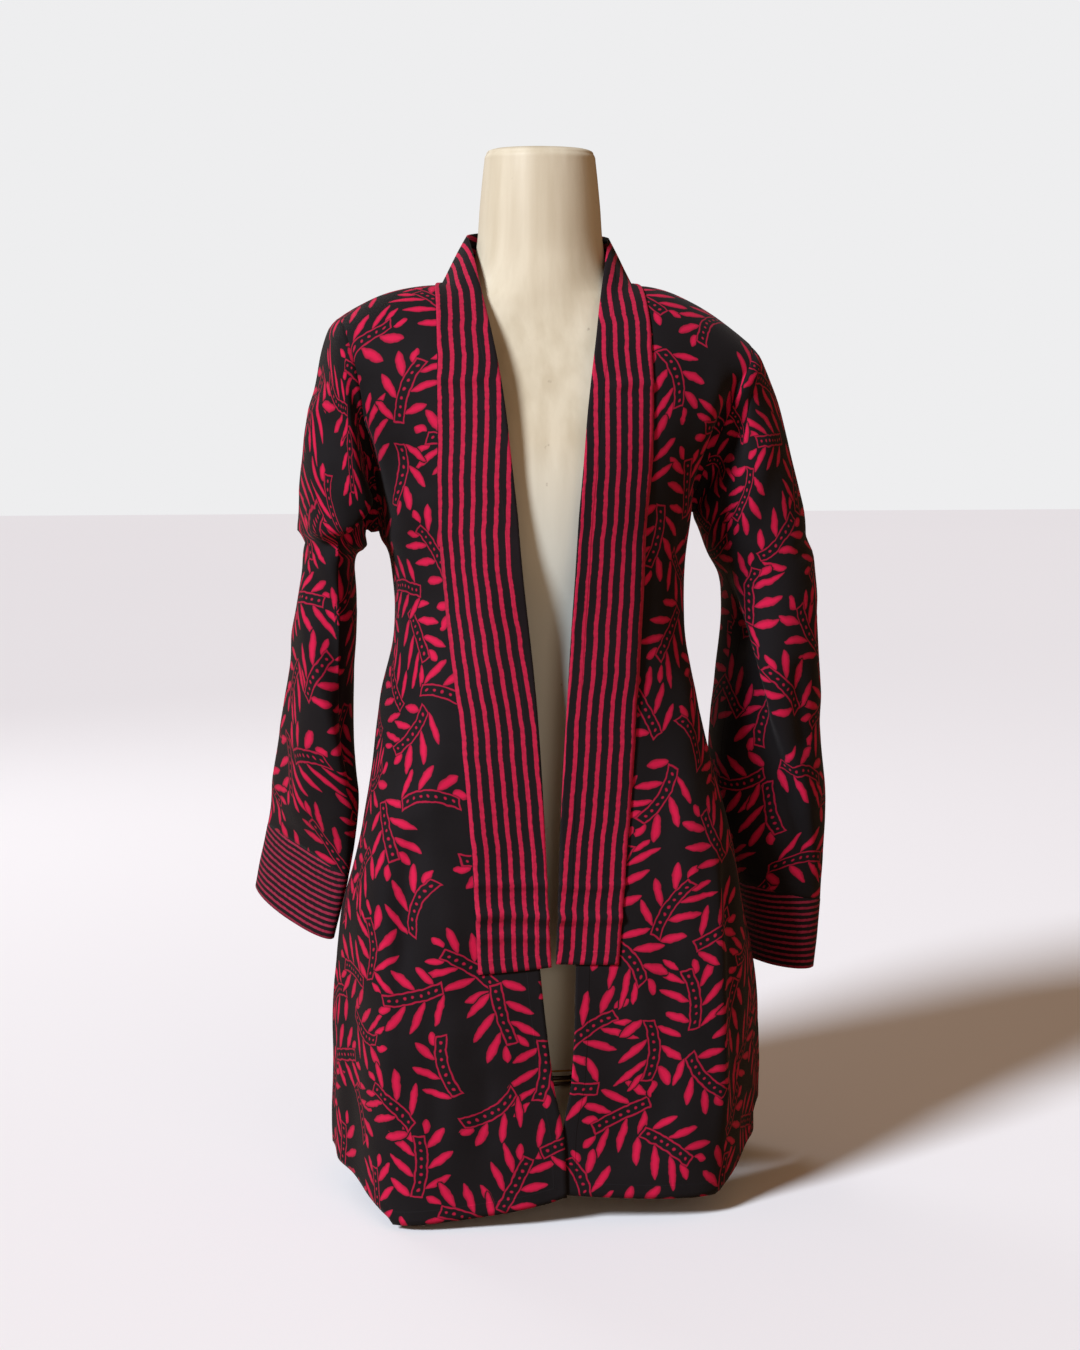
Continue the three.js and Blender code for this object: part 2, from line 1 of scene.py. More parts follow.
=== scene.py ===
# %% [markdown]
# # A printed cotton kimono cardigan on a dress form
# The garment is an open jacket sewn from flat pieces of thin plain-weave cotton: a back, two
# fronts, two sleeves, two cuffs and a doubled front band. It hangs on a limbless dress form.
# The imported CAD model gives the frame, so every piece below is made in metres in that frame.

# %% Load the frame
import math

import bmesh
import bpy
from functools import lru_cache
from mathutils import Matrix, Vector, noise


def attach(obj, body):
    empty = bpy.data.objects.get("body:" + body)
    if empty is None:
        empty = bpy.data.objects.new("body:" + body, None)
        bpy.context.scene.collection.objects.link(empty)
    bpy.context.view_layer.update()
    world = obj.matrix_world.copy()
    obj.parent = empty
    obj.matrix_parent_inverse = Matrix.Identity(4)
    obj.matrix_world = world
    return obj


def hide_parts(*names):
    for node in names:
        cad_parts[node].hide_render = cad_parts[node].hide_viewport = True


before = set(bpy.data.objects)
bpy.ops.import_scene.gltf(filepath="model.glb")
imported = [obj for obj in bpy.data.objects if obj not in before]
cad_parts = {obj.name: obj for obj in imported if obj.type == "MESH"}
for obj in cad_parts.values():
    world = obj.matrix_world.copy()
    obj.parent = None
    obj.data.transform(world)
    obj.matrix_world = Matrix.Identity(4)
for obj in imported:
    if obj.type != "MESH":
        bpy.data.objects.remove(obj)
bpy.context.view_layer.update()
MM = 0.001

# %% [markdown]
# ## Camera
# The camera stands 2.3 m away at chest height, a little to the wearer's right, and looks
# slightly down. A long lens keeps the upright lines of the garment nearly parallel.

# %% Camera
CAMERA_AWAY = 2.3
CAMERA_HEIGHT = 0.734
CAMERA_TURN = math.radians(-8)
CAMERA_DOWN = math.radians(6.277)
SENSOR_HEIGHT, FOCAL_LENGTH = 36, 66.667  # millimetres
camera_data = bpy.data.cameras.new("camera")
camera_data.sensor_fit = "VERTICAL"
camera_data.sensor_height = SENSOR_HEIGHT
camera_data.lens = FOCAL_LENGTH
camera = bpy.data.objects.new("camera", camera_data)
camera.location = (
    CAMERA_AWAY * math.sin(CAMERA_TURN),
    -CAMERA_AWAY * math.cos(CAMERA_TURN),
    CAMERA_HEIGHT,
)
camera.rotation_euler = (math.pi / 2 - CAMERA_DOWN, 0, CAMERA_TURN)
bpy.context.collection.objects.link(camera)
bpy.context.scene.camera = camera
bpy.context.scene.view_settings.view_transform = "Standard"
print("camera at", [round(v, 3) for v in camera.location])

# %% [markdown]
# ## The body of the garment as one surface
# All the body panels lie on one surface round the wearer. It is described by level rows: how
# wide and deep the garment is at each height. A smooth curve is drawn through the rows, so a
# few numbers give a soft shape. It could be modelled by hand or draped by a cloth simulation,
# but rows of numbers are easy to correct and give the same shape each time. A row's n says how
# square its oval is, where 2 is an ellipse, and its taper draws the front in towards the
# middle. Sizes in the tables are millimetres.

# %% Rows of the body, the front edges and the skirt's folds
BODY_COLUMNS = (
    "z", "right_x", "left_x", "right_y", "left_y", "front", "back",
    "right_taper", "left_taper", "n_front", "n_back",
)
BODY_ROWS = (
    (21, 192, 229, 40, 82, -137, 168, 0.17, 0.33, 9, 1.8),
    (106, 193, 219, 22, 42, -137, 156, 0.17, 0.29, 8.5, 1.8),
    (186, 192, 207, 5, 12, -137, 145, 0.15, 0.22, 7.5, 1.75),
    (256, 186, 191, -8, -6, -136, 134, 0.08, 0.14, 6, 1.7),
    (326, 168, 171, -6, -4, -133, 124, -0.02, 0.02, 4.6, 1.8),
    (396, 156, 154, -2, 0, -130, 112, -0.03, 0, 3.6, 2.1),
    (466, 146, 138, 0, 0, -129, 102, 0, 0, 3, 2.2),
    (526, 134, 129, 0, 0, -130, 96, 0, 0, 2.7, 2.2),
    (586, 137, 131, 0, 0, -133, 101, 0, 0, 2.5, 2.3),
    (631, 148, 137, 0, 0, -134, 108, 0, 0, 2.4, 2.4),
)
# x of the band's outer edge, of the front's own edge and of the band's inner edge at each
# level, and how far the inner edge stands above the shoulder
EDGE_COLUMNS = (
    "h", "right_outer", "right_edge", "right_inner",
    "left_outer", "left_edge", "left_inner", "rise",
)
EDGE_ROWS = (
    (0, -66, 5, 12, 44, 1, -8, 0),
    (0.095, -68, 2, 8, 46, 1.5, -8, 0),
    (0.177, -70, -7, 2, 47, 9, -8, 0),
    (0.352, -74, -19, -9, 51, 13, -5, 0),
    (0.574, -81, -27, -15, 62, 14, 0, 0),
    (0.751, -90, -35, -22, 69, 20, 6, 0),
    (0.946, -101, -48, -35, 75, 27, 13, 0),
    (1.108, -104, -55, -42, 81, 33, 19, 0),
    (1.281, -104, -61, -47, 84, 40, 25, 0),
    (1.542, -103, -71, -55, 86, 53, 37, 0),
    (1.739, -101, -80, -59, 87, 68, 46, 2),
    (1.87, -99, -85, -63, 88, 78, 55, 22),
    (2, -93, -89, -65, 87, 84, 62, 41),
)
# angle of each upright fold at its top and its foot, the level it starts from, and its width
# in degrees
FOLD_COLUMNS = ("face", "half", "top", "foot", "from", "width", "height")
FOLDS = (
    ("back", "right", 14, 22, 0.85, 9, 11),
    ("back", "right", 48, 56, 0.7, 9, 12),
    ("back", "left", 10, 17, 0.8, 8, 9),
    ("back", "left", 42, 50, 0.75, 9, 13),
    ("front", "right", 78, 76, 0.55, 7, 6),
    ("front", "left", 72, 68, 0.5, 6, 5),
)
# the shoulder's tip, how its line drops, and hem heights at the edge, fold, side and centre
HALVES = {
    "right": {"sign": -1, "tip": 184, "drop": 0.0014, "power": 2.2, "hem": (27, 5, 35, 28)},
    "left": {"sign": 1, "tip": 190, "drop": 0.019, "power": 1.72, "hem": (30, 20, 50, 28)},
}
HEM, UNDERARM, RIDGE, NECK_POINT = 21, 631, 837, 90
CURVE_FRONT, CURVE_BACK = 2.2, 3  # how square the arch over the shoulder is
QUARTER = math.pi / 2
print(len(BODY_ROWS), "body rows and", len(EDGE_ROWS), "front edge rows")

# %% Read a table on a smooth curve through its rows
def read_table(rows, columns, key):
    """The named values of a table at a key, which is its first column."""
    last = len(rows) - 1
    rising = rows[last][0] > rows[0][0]
    i = 0
    while i < last - 1 and (key > rows[i + 1][0] if rising else key < rows[i + 1][0]):
        i += 1
    before, a, b, after = rows[max(i - 1, 0)], rows[i], rows[i + 1], rows[min(i + 2, last)]
    span = b[0] - a[0]
    t = min(max((key - a[0]) / span, 0), 1)
    values = {}
    for k, name in enumerate(columns):
        slope_a = (b[k] - before[k]) / (b[0] - before[0]) * span
        slope_b = (after[k] - a[k]) / (after[0] - a[0]) * span
        bend = (1 - t) * (slope_a * (1 - t) - slope_b * t)
        bend += (b[k] - a[k]) * (2 * t - 1) * (1 - t)
        values[name] = a[k] + (b[k] - a[k]) * t + t * bend
    return values


def smooth(t):
    t = min(max(t, 0), 1)
    return t * t * (3 - 2 * t)


def oval(angle, n):
    """Sideways and forward share of a place on an oval with squareness n."""
    across, ahead = math.sin(angle), math.cos(angle)
    r = (abs(across) ** n + abs(ahead) ** n) ** (-1 / n)
    return across * r, ahead * r


@lru_cache(maxsize=None)
def body_row(h):
    return read_table(BODY_ROWS, BODY_COLUMNS, HEM + (UNDERARM - HEM) * min(h, 1))


@lru_cache(maxsize=None)
def edge_row(h):
    return read_table(EDGE_ROWS, EDGE_COLUMNS, h)


chest = body_row(1)
print("chest is", round((chest["back"] - chest["front"]) / 10), "cm deep and",
      round((chest["right_x"] + chest["left_x"]) / 10), "cm wide")

# %% [markdown]
# ## One point of the body
# A place on the body is a half, a face, an angle from the middle of the face to the side and a
# level h: 0 at the hem, 1 under the arm, 2 on the shoulder line. Below the arm the section is a
# squarish oval whose side folds stand out. Above it the front and back arch over the shoulder.

# %% Heights of the shoulder line, of the hem and of the skirt's folds
HEM_DIP, HEM_RISE = 0.7, 0.5  # how the hem bends on each side of the skirt's corner


def ridge_height(half, x):
    """Height of the shoulder line, which drops ever faster outside the neck."""
    return RIDGE - half["drop"] * max(abs(x) - NECK_POINT, 0) ** half["power"]


def hem_height(half, face, angle):
    """Height of the hem, which is lowest at the front's corner halfway round to the side."""
    edge, fold, side, centre = half["hem"]
    share = max(angle / QUARTER, 0)
    if face == "back":
        return centre + (side - centre) * smooth(share)
    from_fold = share * 2 - 1
    if from_fold < 0:
        return edge + (fold - edge) * (share * 2) ** HEM_DIP
    return fold + (side - fold) * from_fold**HEM_RISE


def fold_height(face, half_name, angle, h):
    """How far the upright folds of the skirt stand out."""
    height = 0
    for row in FOLDS:
        fold = dict(zip(FOLD_COLUMNS, row))
        if fold["face"] != face or fold["half"] != half_name or h >= fold["from"]:
            continue
        grown = smooth(1 - h / fold["from"])
        centre = math.radians(fold["foot"] + (fold["top"] - fold["foot"]) * h / fold["from"])
        offset = (angle - centre) / math.radians(fold["width"])
        height += fold["height"] * grown * math.exp(-offset * offset)
    return height


print("shoulder tips at", [round(ridge_height(half, half["tip"])) for half in HALVES.values()])

# %% Points of the body surface
SETTLING_STEPS = 8  # more steps change nothing that shows


def body_point(half_name, face, angle, h):
    """The point in millimetres at an angle and a level of one half's front or back."""
    half = HALVES[half_name]
    ahead = -1 if face == "front" else 1
    row = body_row(h)
    level = HEM + (UNDERARM - HEM) * min(h, 1)
    n = row["n_front"] if face == "front" else row["n_back"]
    depth = row["front"] if face == "front" else row["back"]
    u, v = oval(angle, n)
    if h <= 1:
        side_y = row[half_name + "_y"]
        taper = row[half_name + "_taper"] if face == "front" else 0
        fold = fold_height(face, half_name, angle, h)
        x = half["sign"] * (row[half_name + "_x"] * u * (1 - taper * v) + fold * math.sin(angle))
        y = side_y + (depth - side_y) * v + ahead * fold * math.cos(angle)
        z = level + (hem_height(half, face, angle) - HEM) * (1 - h) ** 2
        return Vector((x, y, z))
    arch = (h - 1) * QUARTER
    m = CURVE_FRONT if face == "front" else CURVE_BACK
    up = math.sin(arch)
    width = row[half_name + "_x"] + (half["tip"] - row[half_name + "_x"]) * up
    x = half["sign"] * width * u
    fullness = max(1 - abs(u) ** n * (1 - up * up), 0) ** (1 / n)
    y = depth * fullness * max(math.cos(arch), 0) ** (2 / m)
    z = UNDERARM + (ridge_height(half, x) - UNDERARM) * up ** (2 / m)
    return Vector((x, y, z))


def angle_at(half_name, x, h):
    """The angle at which the front is x away from the middle, found step by step."""
    half, row = HALVES[half_name], body_row(h)
    up = math.sin(max(h - 1, 0) * QUARTER)
    width = row[half_name + "_x"] + (half["tip"] - row[half_name + "_x"]) * up
    taper = row[half_name + "_taper"] if h <= 1 else 0
    u, v = 0, 1
    for _ in range(SETTLING_STEPS):
        u = min(half["sign"] * x / (width * (1 - taper * v)), 1)
        v = max(1 - abs(u) ** row["n_front"], 0) ** (1 / row["n_front"])
    return math.atan2(u, v)


print("right hem corner", [round(v) for v in body_point("right", "front", QUARTER / 2, 0)])

# %% [markdown]
# ## Creases
# Worn cotton isn't smooth: it has pressed lines, drag folds and tucks where it was folded or
# pulled. Each crease here is a short line drawn on the front or the back of a piece, with its
# own width and height. A fold is a soft ridge, or a trough where its height is negative. A tuck
# is a step: the cloth stands out on the left of the line and falls back on its right, or the
# other way round where its height is negative. A slow unevenness lies under them all. They
# could be sculpted, but a line with a width and a height is easier to move.

# %% Tables of creases, in millimetres
def crease_rows(side, kind, *rows):
    """Each row has a crease's width, its height, and the (x, z) points of its line."""
    return [(side, kind, width, height, line) for width, height, *line in rows]


BODY_CREASES = crease_rows(
    "front", "fold",
    # the wearer's right front, from the shoulder down
    (11, -5, (-166, 716), (-162, 690), (-154, 655), (-136, 622)),
    (13, 4, (-160, 752), (-154, 706), (-140, 660), (-122, 620)),
    (9, -3, (-142, 700), (-128, 672), (-108, 650)),
    (11, -3.5, (-130, 640), (-116, 600), (-112, 540)),
    (14, 4, (-118, 560), (-108, 440), (-120, 340)),
    (10, -7, (-124, 372), (-134, 326), (-139, 282), (-138, 226)),
    (8, 3.5, (-150, 372), (-156, 310), (-155, 220), (-150, 60)),
    (16, 3, (-104, 330), (-97, 200), (-92, 40)),
    (9, -2.5, (-120, 210), (-112, 120), (-116, 50)),
    (22, 2.5, (-60, 250), (-52, 140), (-40, 40)),
    (6, -1.6, (-74, 150), (-66, 128), (-70, 96), (-60, 70)),
    (3, 2, (-151, 300), (-152, 200), (-150, 110), (-146, 40)),
    # the wearer's left front
    (11, -7, (176, 762), (163, 722), (146, 674), (130, 634)),
    (11, 4, (150, 776), (141, 722), (122, 664), (112, 612)),
    (9, -3, (128, 700), (116, 640), (118, 560)),
    (16, 4, (122, 510), (114, 400), (120, 270)),
    (9, 3.5, (140, 360), (143, 250), (146, 140), (146, 50)),
    (10, -6, (152, 350), (160, 250), (166, 120), (168, 60)),
    (14, -2.5, (100, 330), (92, 180), (88, 40)),
    (22, -2.5, (42, 240), (50, 130), (60, 40)),
    (3, 2, (142, 320), (146, 220), (148, 120), (147, 40)),
) + crease_rows(
    "back", "fold",
    (16, 5, (-70, 700), (-84, 560), (-78, 420), (-96, 300)),
    (16, -5, (60, 690), (70, 540), (64, 400), (88, 280)),
    (12, 3.5, (0, 640), (6, 500), (-4, 360)),
    (11, -5, (-158, 720), (-140, 660), (-116, 580)),
    (11, -5, (166, 730), (144, 660), (116, 580)),
    (12, 4, (-128, 640), (-60, 540), (20, 500)),
    (10, -3, (110, 600), (56, 520), (-20, 470)),
)
PRESSED_CREASES = crease_rows(
    "front", "fold",
    (3.5, 3.2, (-104, 315), (-60, 312), (10, 311)),
    (5, 5.2, (-110, 283), (-50, 286), (14, 280)),
    (3.5, 3, (-104, 263), (-50, 266), (10, 262)),
    (3, 2.4, (-20, 310), (30, 307), (76, 310)),
    (4, 3.4, (-24, 282), (30, 279), (84, 281)),
    (5, 2, (-110, 754), (-80, 750), (-60, 754)),
    (5, 2, (44, 744), (66, 750), (92, 746)),
    (14, 2, (-70, 640), (-66, 560), (-62, 470)),
    (12, 1.6, (70, 620), (66, 540), (64, 460)),
)
print(len(BODY_CREASES), "folds and", len(PRESSED_CREASES), "pressed lines on the body")

# %% Nearest place on a line
def near_line(line, x, z):
    """Signed distance to a line of points and the share of its length, at the nearest place."""
    best = None
    lengths = [math.dist(a, b) for a, b in zip(line, line[1:])]
    passed = 0
    for (ax, az), (bx, bz), length in zip(line, line[1:], lengths):
        along = ((x - ax) * (bx - ax) + (z - az) * (bz - az)) / length
        held = min(max(along, 0), length)
        near_x, near_z = ax + (bx - ax) * held / length, az + (bz - az) * held / length
        distance = math.hypot(x - near_x, z - near_z)
        left = (bx - ax) * (z - az) - (bz - az) * (x - ax)
        if best is None or distance < abs(best[0]):
            best = (math.copysign(distance, left), (passed + held) / sum(lengths))
        passed += length
    return best


print("20 mm from a line:", near_line(((0, 0), (0, 100)), 20, 50))

# %% How far a crease lifts the cloth at a place
CREASE_REACH = 3  # widths from its line
FADE_RATE, FADE_START = 4, 0.12  # it fades in over the first and the last fifth of its line
TUCK_EDGE = 3  # half the width of a tuck's step
UNEVEN_SIZE, UNEVEN_DEPTH = 70, 1.6
FINER_SIZE, FINER_DEPTH = 0.4, 0.3  # shares of the slow unevenness


def crease_height(creases, x, z, facing):
    """facing is the y part of the cloth's outward direction, -1 towards the front."""
    height = 0
    for side, kind, width, rise, line in creases:
        seen = smooth(0.5 + 2 * (-facing if side == "front" else facing))
        reach = CREASE_REACH * width
        if seen == 0 or not min(p[0] for p in line) - reach < x < max(p[0] for p in line) + reach:
            continue
        distance, share = near_line(line, x, z)
        if abs(distance) > reach:
            continue
        fade = smooth(FADE_RATE * min(share, 1 - share) + FADE_START)
        if kind == "fold":
            profile = math.exp(-((distance / width) ** 2))
        else:
            profile = math.tanh(distance / TUCK_EDGE) * math.exp(-abs(distance) / width)
        height += rise * profile * fade * seen
    return height


def unevenness(place):
    slow = noise.noise(place / UNEVEN_SIZE)
    finer = noise.noise(place / (UNEVEN_SIZE * FINER_SIZE))
    return UNEVEN_DEPTH * slow + FINER_DEPTH * UNEVEN_DEPTH * finer


print("lift beside the first fold", round(crease_height(BODY_CREASES, -115, 450, -1), 2), "mm")

# %% [markdown]
# ## The sag under the wearer's right arm
# The tuck across the right sleeve pulls the cloth under that arm down by the width of a finger.
# The sleeve and both body panels have to sag by the same amount, or their seams would open, so
# one function moves them all. It fades away like a bell curve round the middle of the sag.

# %% Sag
SAG_X, SAG_Z = -160, 627  # its middle
SAG_WIDE, SAG_HIGH, SAG_DROP = 34, 22, 18


def sagged(place):
    off_x, off_z = (place.x - SAG_X) / SAG_WIDE, (place.z - SAG_Z) / SAG_HIGH
    return place - Vector((0, 0, SAG_DROP * math.exp(-off_x * off_x - off_z * off_z)))


print("underarm drops to", round(sagged(Vector((SAG_X, 0, SAG_Z))).z), "mm")

# %% [markdown]
# ## From a flat grid to a hanging panel
# A panel starts as a flat grid, as cloth does. Its points are moved onto the body surface, then
# along their own normals by the creases. The UV map is measured on the hanging cloth, in metres
# along its rows and columns, so a print keeps its real size. A second UV map holds how far a
# point is from the panel's side edge and from its hem, for stitches and turned edges.

# %% Lay a grid on a surface, and crease it
def lay_grid(columns, rows, place):
    """The grid, its points by column and row, and each point's column and row."""
    bm = bmesh.new()
    bmesh.ops.create_grid(bm, x_segments=columns, y_segments=rows, size=0.5)
    at, spot = {}, {}
    for v in bm.verts:
        i, j = round((v.co.x + 0.5) * columns), round((v.co.y + 0.5) * rows)
        at[i, j] = v
        spot[v] = (i, j)
        v.co = place(i / columns, j / rows)
    return bm, at, spot


def crease_grid(bm, at, spot, creases, closed, loose):
    """Moves each point along its normal, by less where the cloth isn't loose."""
    columns, rows = max(at)
    bm.normal_update()
    outward = {v: v.normal.copy() for v in bm.verts}
    if closed:
        for j in range(rows + 1):
            a, b = at[0, j], at[columns, j]
            outward[a] = outward[b] = (outward[a] + outward[b]).normalized()
    for v in bm.verts:
        i, j = spot[v]
        lift = crease_height(creases, v.co.x, v.co.z, outward[v].y) + unevenness(v.co)
        v.co = sagged(v.co + outward[v] * lift * loose(i / columns, j / rows))


print("the grid helpers are ready")

# %% Measure the UV maps on the hanging cloth
def running_lengths(at, upward, origin):
    """Lengths along each column (or row) of the grid, from the row (or column) of the origin."""
    columns, rows = max(at)
    lines, steps = (columns, rows) if upward else (rows, columns)
    lengths = {}
    for line in range(lines + 1):
        keys = [(line, k) if upward else (k, line) for k in range(steps + 1)]
        run = [0]
        for a, b in zip(keys, keys[1:]):
            run.append(run[-1] + (at[b].co - at[a].co).length)
        for key, length in zip(keys, run):
            lengths[key] = length - run[origin]
    return lengths


def measure_maps(bm, at, spot, straight_column, straight_row, shift):
    """The print runs straight along one column and one row; shift moves it on the cloth."""
    columns, _ = max(at)
    print_map = bm.loops.layers.uv.new("Print")
    edge_map = bm.loops.layers.uv.new("Edges")
    across = running_lengths(at, False, straight_column)
    upward = running_lengths(at, True, straight_row)
    for face in bm.faces:
        for loop in face.loops:
            i, j = spot[loop.vert]
            u, v = across[i, j] * MM, upward[i, j] * MM
            loop[print_map].uv = (u + shift[0], v + shift[1])
            side = abs(across[columns, j] - across[i, j]) * MM
            loop[edge_map].uv = (side, (upward[i, j] - upward[i, 0]) * MM)


print("the map helpers are ready")

# %% Make a cloth panel
CLOTH, CUFF_CLOTH, BAND_CLOTH = 0.9, 1.3, 1.5  # thicknesses: the band and cuffs are doubled
JOIN_WITHIN = 0.05


def hang_panel(
    name, columns, rows, place, creases, flip=False, closed=False, loose=lambda s, t: 1,
    straight_column=0, straight_row=0, shift=(0, 0), thickness=CLOTH,
):
    """place(s, t) gives a point in millimetres, for s across and t up, each from 0 to 1."""
    bm, at, spot = lay_grid(columns, rows, place)
    if flip:
        bmesh.ops.reverse_faces(bm, faces=bm.faces)
    crease_grid(bm, at, spot, creases, closed, loose)
    measure_maps(bm, at, spot, straight_column, straight_row, shift)
    if closed:
        bmesh.ops.remove_doubles(bm, verts=bm.verts, dist=JOIN_WITHIN)
    bmesh.ops.scale(bm, vec=(MM, MM, MM), verts=bm.verts)
    mesh = bpy.data.meshes.new(name)
    bm.to_mesh(mesh)
    bm.free()
    mesh.polygons.foreach_set("use_smooth", [True] * len(mesh.polygons))
    piece = bpy.data.objects.new(name, mesh)
    bpy.context.collection.objects.link(piece)
    thick = piece.modifiers.new("thickness", "SOLIDIFY")
    thick.thickness = thickness * MM
    thick.offset = 0
    area = sum(p.area for p in mesh.polygons)
    print(name, "cloth of", round(area, 3), "square metres")
    return piece


print("hang_panel is ready")

# %% [markdown]
# ## The two fronts and the back
# Each front runs from the side seam to its own edge under the band. The wearer's right front
# passes just in front of the left one near the hem. The back is one piece that stops at the
# neckline. All three are cut from the same surface, so they meet at their seams by themselves.

# %% Fronts
UNDERARM_SHARE = 0.7  # share of a panel's rows below the arm
SEAM_SHARE = 0.75  # share of a front's columns from its side seam to the band's seam
FRONT_COLUMNS, FRONT_ROWS = 64, 180
FRONT_WIDTH = 110  # from the armhole to the front's own edge
SEAM_HOLD = 18  # the armhole seam holds the cloth flat this far from it
ARMHOLE_FOOT = 0.9  # level from which the seam begins to hold
LAP_TOP, LAP_FULL, FRONT_LAP = 0.24, 0.08, 1.4  # levels where the fronts lap, and by how much
PRINT_SHIFTS = {"right": (0.31, 0.12), "left": (1.02, 0.55)}
cloth = {}


def level_at(t):
    """The level of a panel's row: the underarm comes at its own share of the rows."""
    if t < UNDERARM_SHARE:
        return t / UNDERARM_SHARE
    return 1 + (t - UNDERARM_SHARE) / (1 - UNDERARM_SHARE)


def loose_beside_armhole(from_edge, h):
    """0 on the armhole seam, 1 a fold's width away from it or below the arm."""
    held = smooth((h - ARMHOLE_FOOT) / (1 - ARMHOLE_FOOT))
    return 1 - held * (1 - smooth(from_edge / SEAM_HOLD))


def lap_step(half_name, h):
    step = smooth((LAP_TOP - h) / (LAP_TOP - LAP_FULL))
    return HALVES[half_name]["sign"] * FRONT_LAP * step


def front_point(half_name, s, h):
    """s is 0 at the side seam, SEAM_SHARE at the band's seam and 1 at the front's own edge."""
    edges = edge_row(h)
    seam = angle_at(half_name, edges[half_name + "_outer"], h)
    edge = angle_at(half_name, edges[half_name + "_edge"], h)
    if s <= SEAM_SHARE:
        return body_point(half_name, "front", QUARTER + (seam - QUARTER) * s / SEAM_SHARE, h)
    share = (s - SEAM_SHARE) / (1 - SEAM_SHARE)
    point = body_point(half_name, "front", seam + (edge - seam) * share, h)
    point.y += lap_step(half_name, h) * share
    return point


for half_name in ("right", "left"):
    name = "front_panel_" + half_name
    cloth[name] = hang_panel(
        name, FRONT_COLUMNS, FRONT_ROWS,
        lambda s, t: front_point(half_name, s, level_at(t)),
        BODY_CREASES,
        flip=half_name == "left",
        loose=lambda s, t: loose_beside_armhole(s * FRONT_WIDTH, level_at(t)),
        straight_column=round(SEAM_SHARE * FRONT_COLUMNS),
        straight_row=round(UNDERARM_SHARE * FRONT_ROWS),
        shift=PRINT_SHIFTS[half_name],
    )

# %% Back
BACK_COLUMNS, BACK_ROWS = 120, 170
BACK_WIDTH = 290  # from armhole to armhole
NECK_HALF_DEPTH = 64  # the neckline is an ellipse this deep behind the neck


@lru_cache(maxsize=None)
def neck_level(half_name, angle):
    """The level at which a column of the back reaches the neckline, 2 beside the neck."""
    reach = abs(EDGE_ROWS[-1][EDGE_COLUMNS.index(half_name + "_edge")])
    depth = BODY_ROWS[-1][BODY_COLUMNS.index("back")]
    level = 2
    for _ in range(SETTLING_STEPS):
        x = abs(body_point(half_name, "back", angle, level).x)
        if x >= reach:
            return 2
        y = NECK_HALF_DEPTH * math.sqrt(1 - (x / reach) ** 2)
        level = 1 + math.acos((y / depth) ** (CURVE_BACK / 2)) / QUARTER
    return level


def back_point(s, t):
    share = 2 * s - 1
    half_name = "right" if share < 0 else "left"
    angle = abs(share) * QUARTER
    h = level_at(t)
    if h > 1:
        h = 1 + (h - 1) * (neck_level(half_name, angle) - 1)
    return body_point(half_name, "back", angle, h)


cloth["back_panel"] = hang_panel(
    "back_panel", BACK_COLUMNS, BACK_ROWS, back_point, BODY_CREASES,
    flip=True,
    loose=lambda s, t: loose_beside_armhole(min(s, 1 - s) * BACK_WIDTH, level_at(t)),
    straight_column=BACK_COLUMNS // 2,
    straight_row=round(UNDERARM_SHARE * BACK_ROWS),
    shift=(0.5, 2.2),
)

# %% [markdown]
# ## The front band
# The band is a long folded strip sewn along both front edges and round the neck. It lies on the
# fronts, a cloth's thickness above them, and stands up round the back of the neck as a collar.
# Each half ends in a free square end above the hem. Its points are the front's own, moved out,
# so it can't sink into the cloth below it.

# %% Points of the front band
NECK_SHARE = 0.16  # share of the band's length that goes round the back of the neck
LAP_SHARE = 2 / 3  # share of its width that lies on the front
BAND_LIFT, NECK_LIFT = 1.8, 2.1  # how far it lies above the front, and behind the neck
BAND_LAP, BAND_END = 8, 0.352  # its lap behind the neck, and the level of its free end
COLLAR_HALF_DEPTH, COLLAR_RISE = 58, 10
NORMAL_STEP = 0.01


def outward_normal(half_name, s, h):
    """The direction in which the front faces, from neighbouring points."""
    low, high = max(h - NORMAL_STEP, 0), min(h + NORMAL_STEP, 2)
    across = front_point(half_name, min(s + NORMAL_STEP, 1), h)
    across -= front_point(half_name, max(s - NORMAL_STEP, 0), h)
    up = front_point(half_name, s, high) - front_point(half_name, s, low)
    return up.cross(across).normalized() * HALVES[half_name]["sign"]


def above_front(half_name, s, h):
    return front_point(half_name, s, h) + outward_normal(half_name, s, h) * BAND_LIFT


def neck_point(half, x, y):
    """A point above the back beside the neckline, where the collar is sewn on."""
    depth = BODY_ROWS[-1][BODY_COLUMNS.index("back")]
    share = y / depth
    height = (1 - share**CURVE_BACK) ** (1 / CURVE_BACK)
    slope = (share / height) ** (CURVE_BACK - 1) * (RIDGE - UNDERARM) / depth
    length = math.hypot(1, slope)
    z = UNDERARM + (ridge_height(half, x) - UNDERARM) * height + NECK_LIFT / length
    return Vector((half["sign"] * x, y + NECK_LIFT * slope / length, z))


def band_point(half_name, s, t):
    """s is 0 at the band's outer edge and 1 at its inner one, t runs up from its free end."""
    if t <= 1 - NECK_SHARE:
        return lapel_point(half_name, s, BAND_END + (2 - BAND_END) * t / (1 - NECK_SHARE))
    return collar_point(half_name, s, (t - 1 + NECK_SHARE) / NECK_SHARE * QUARTER)


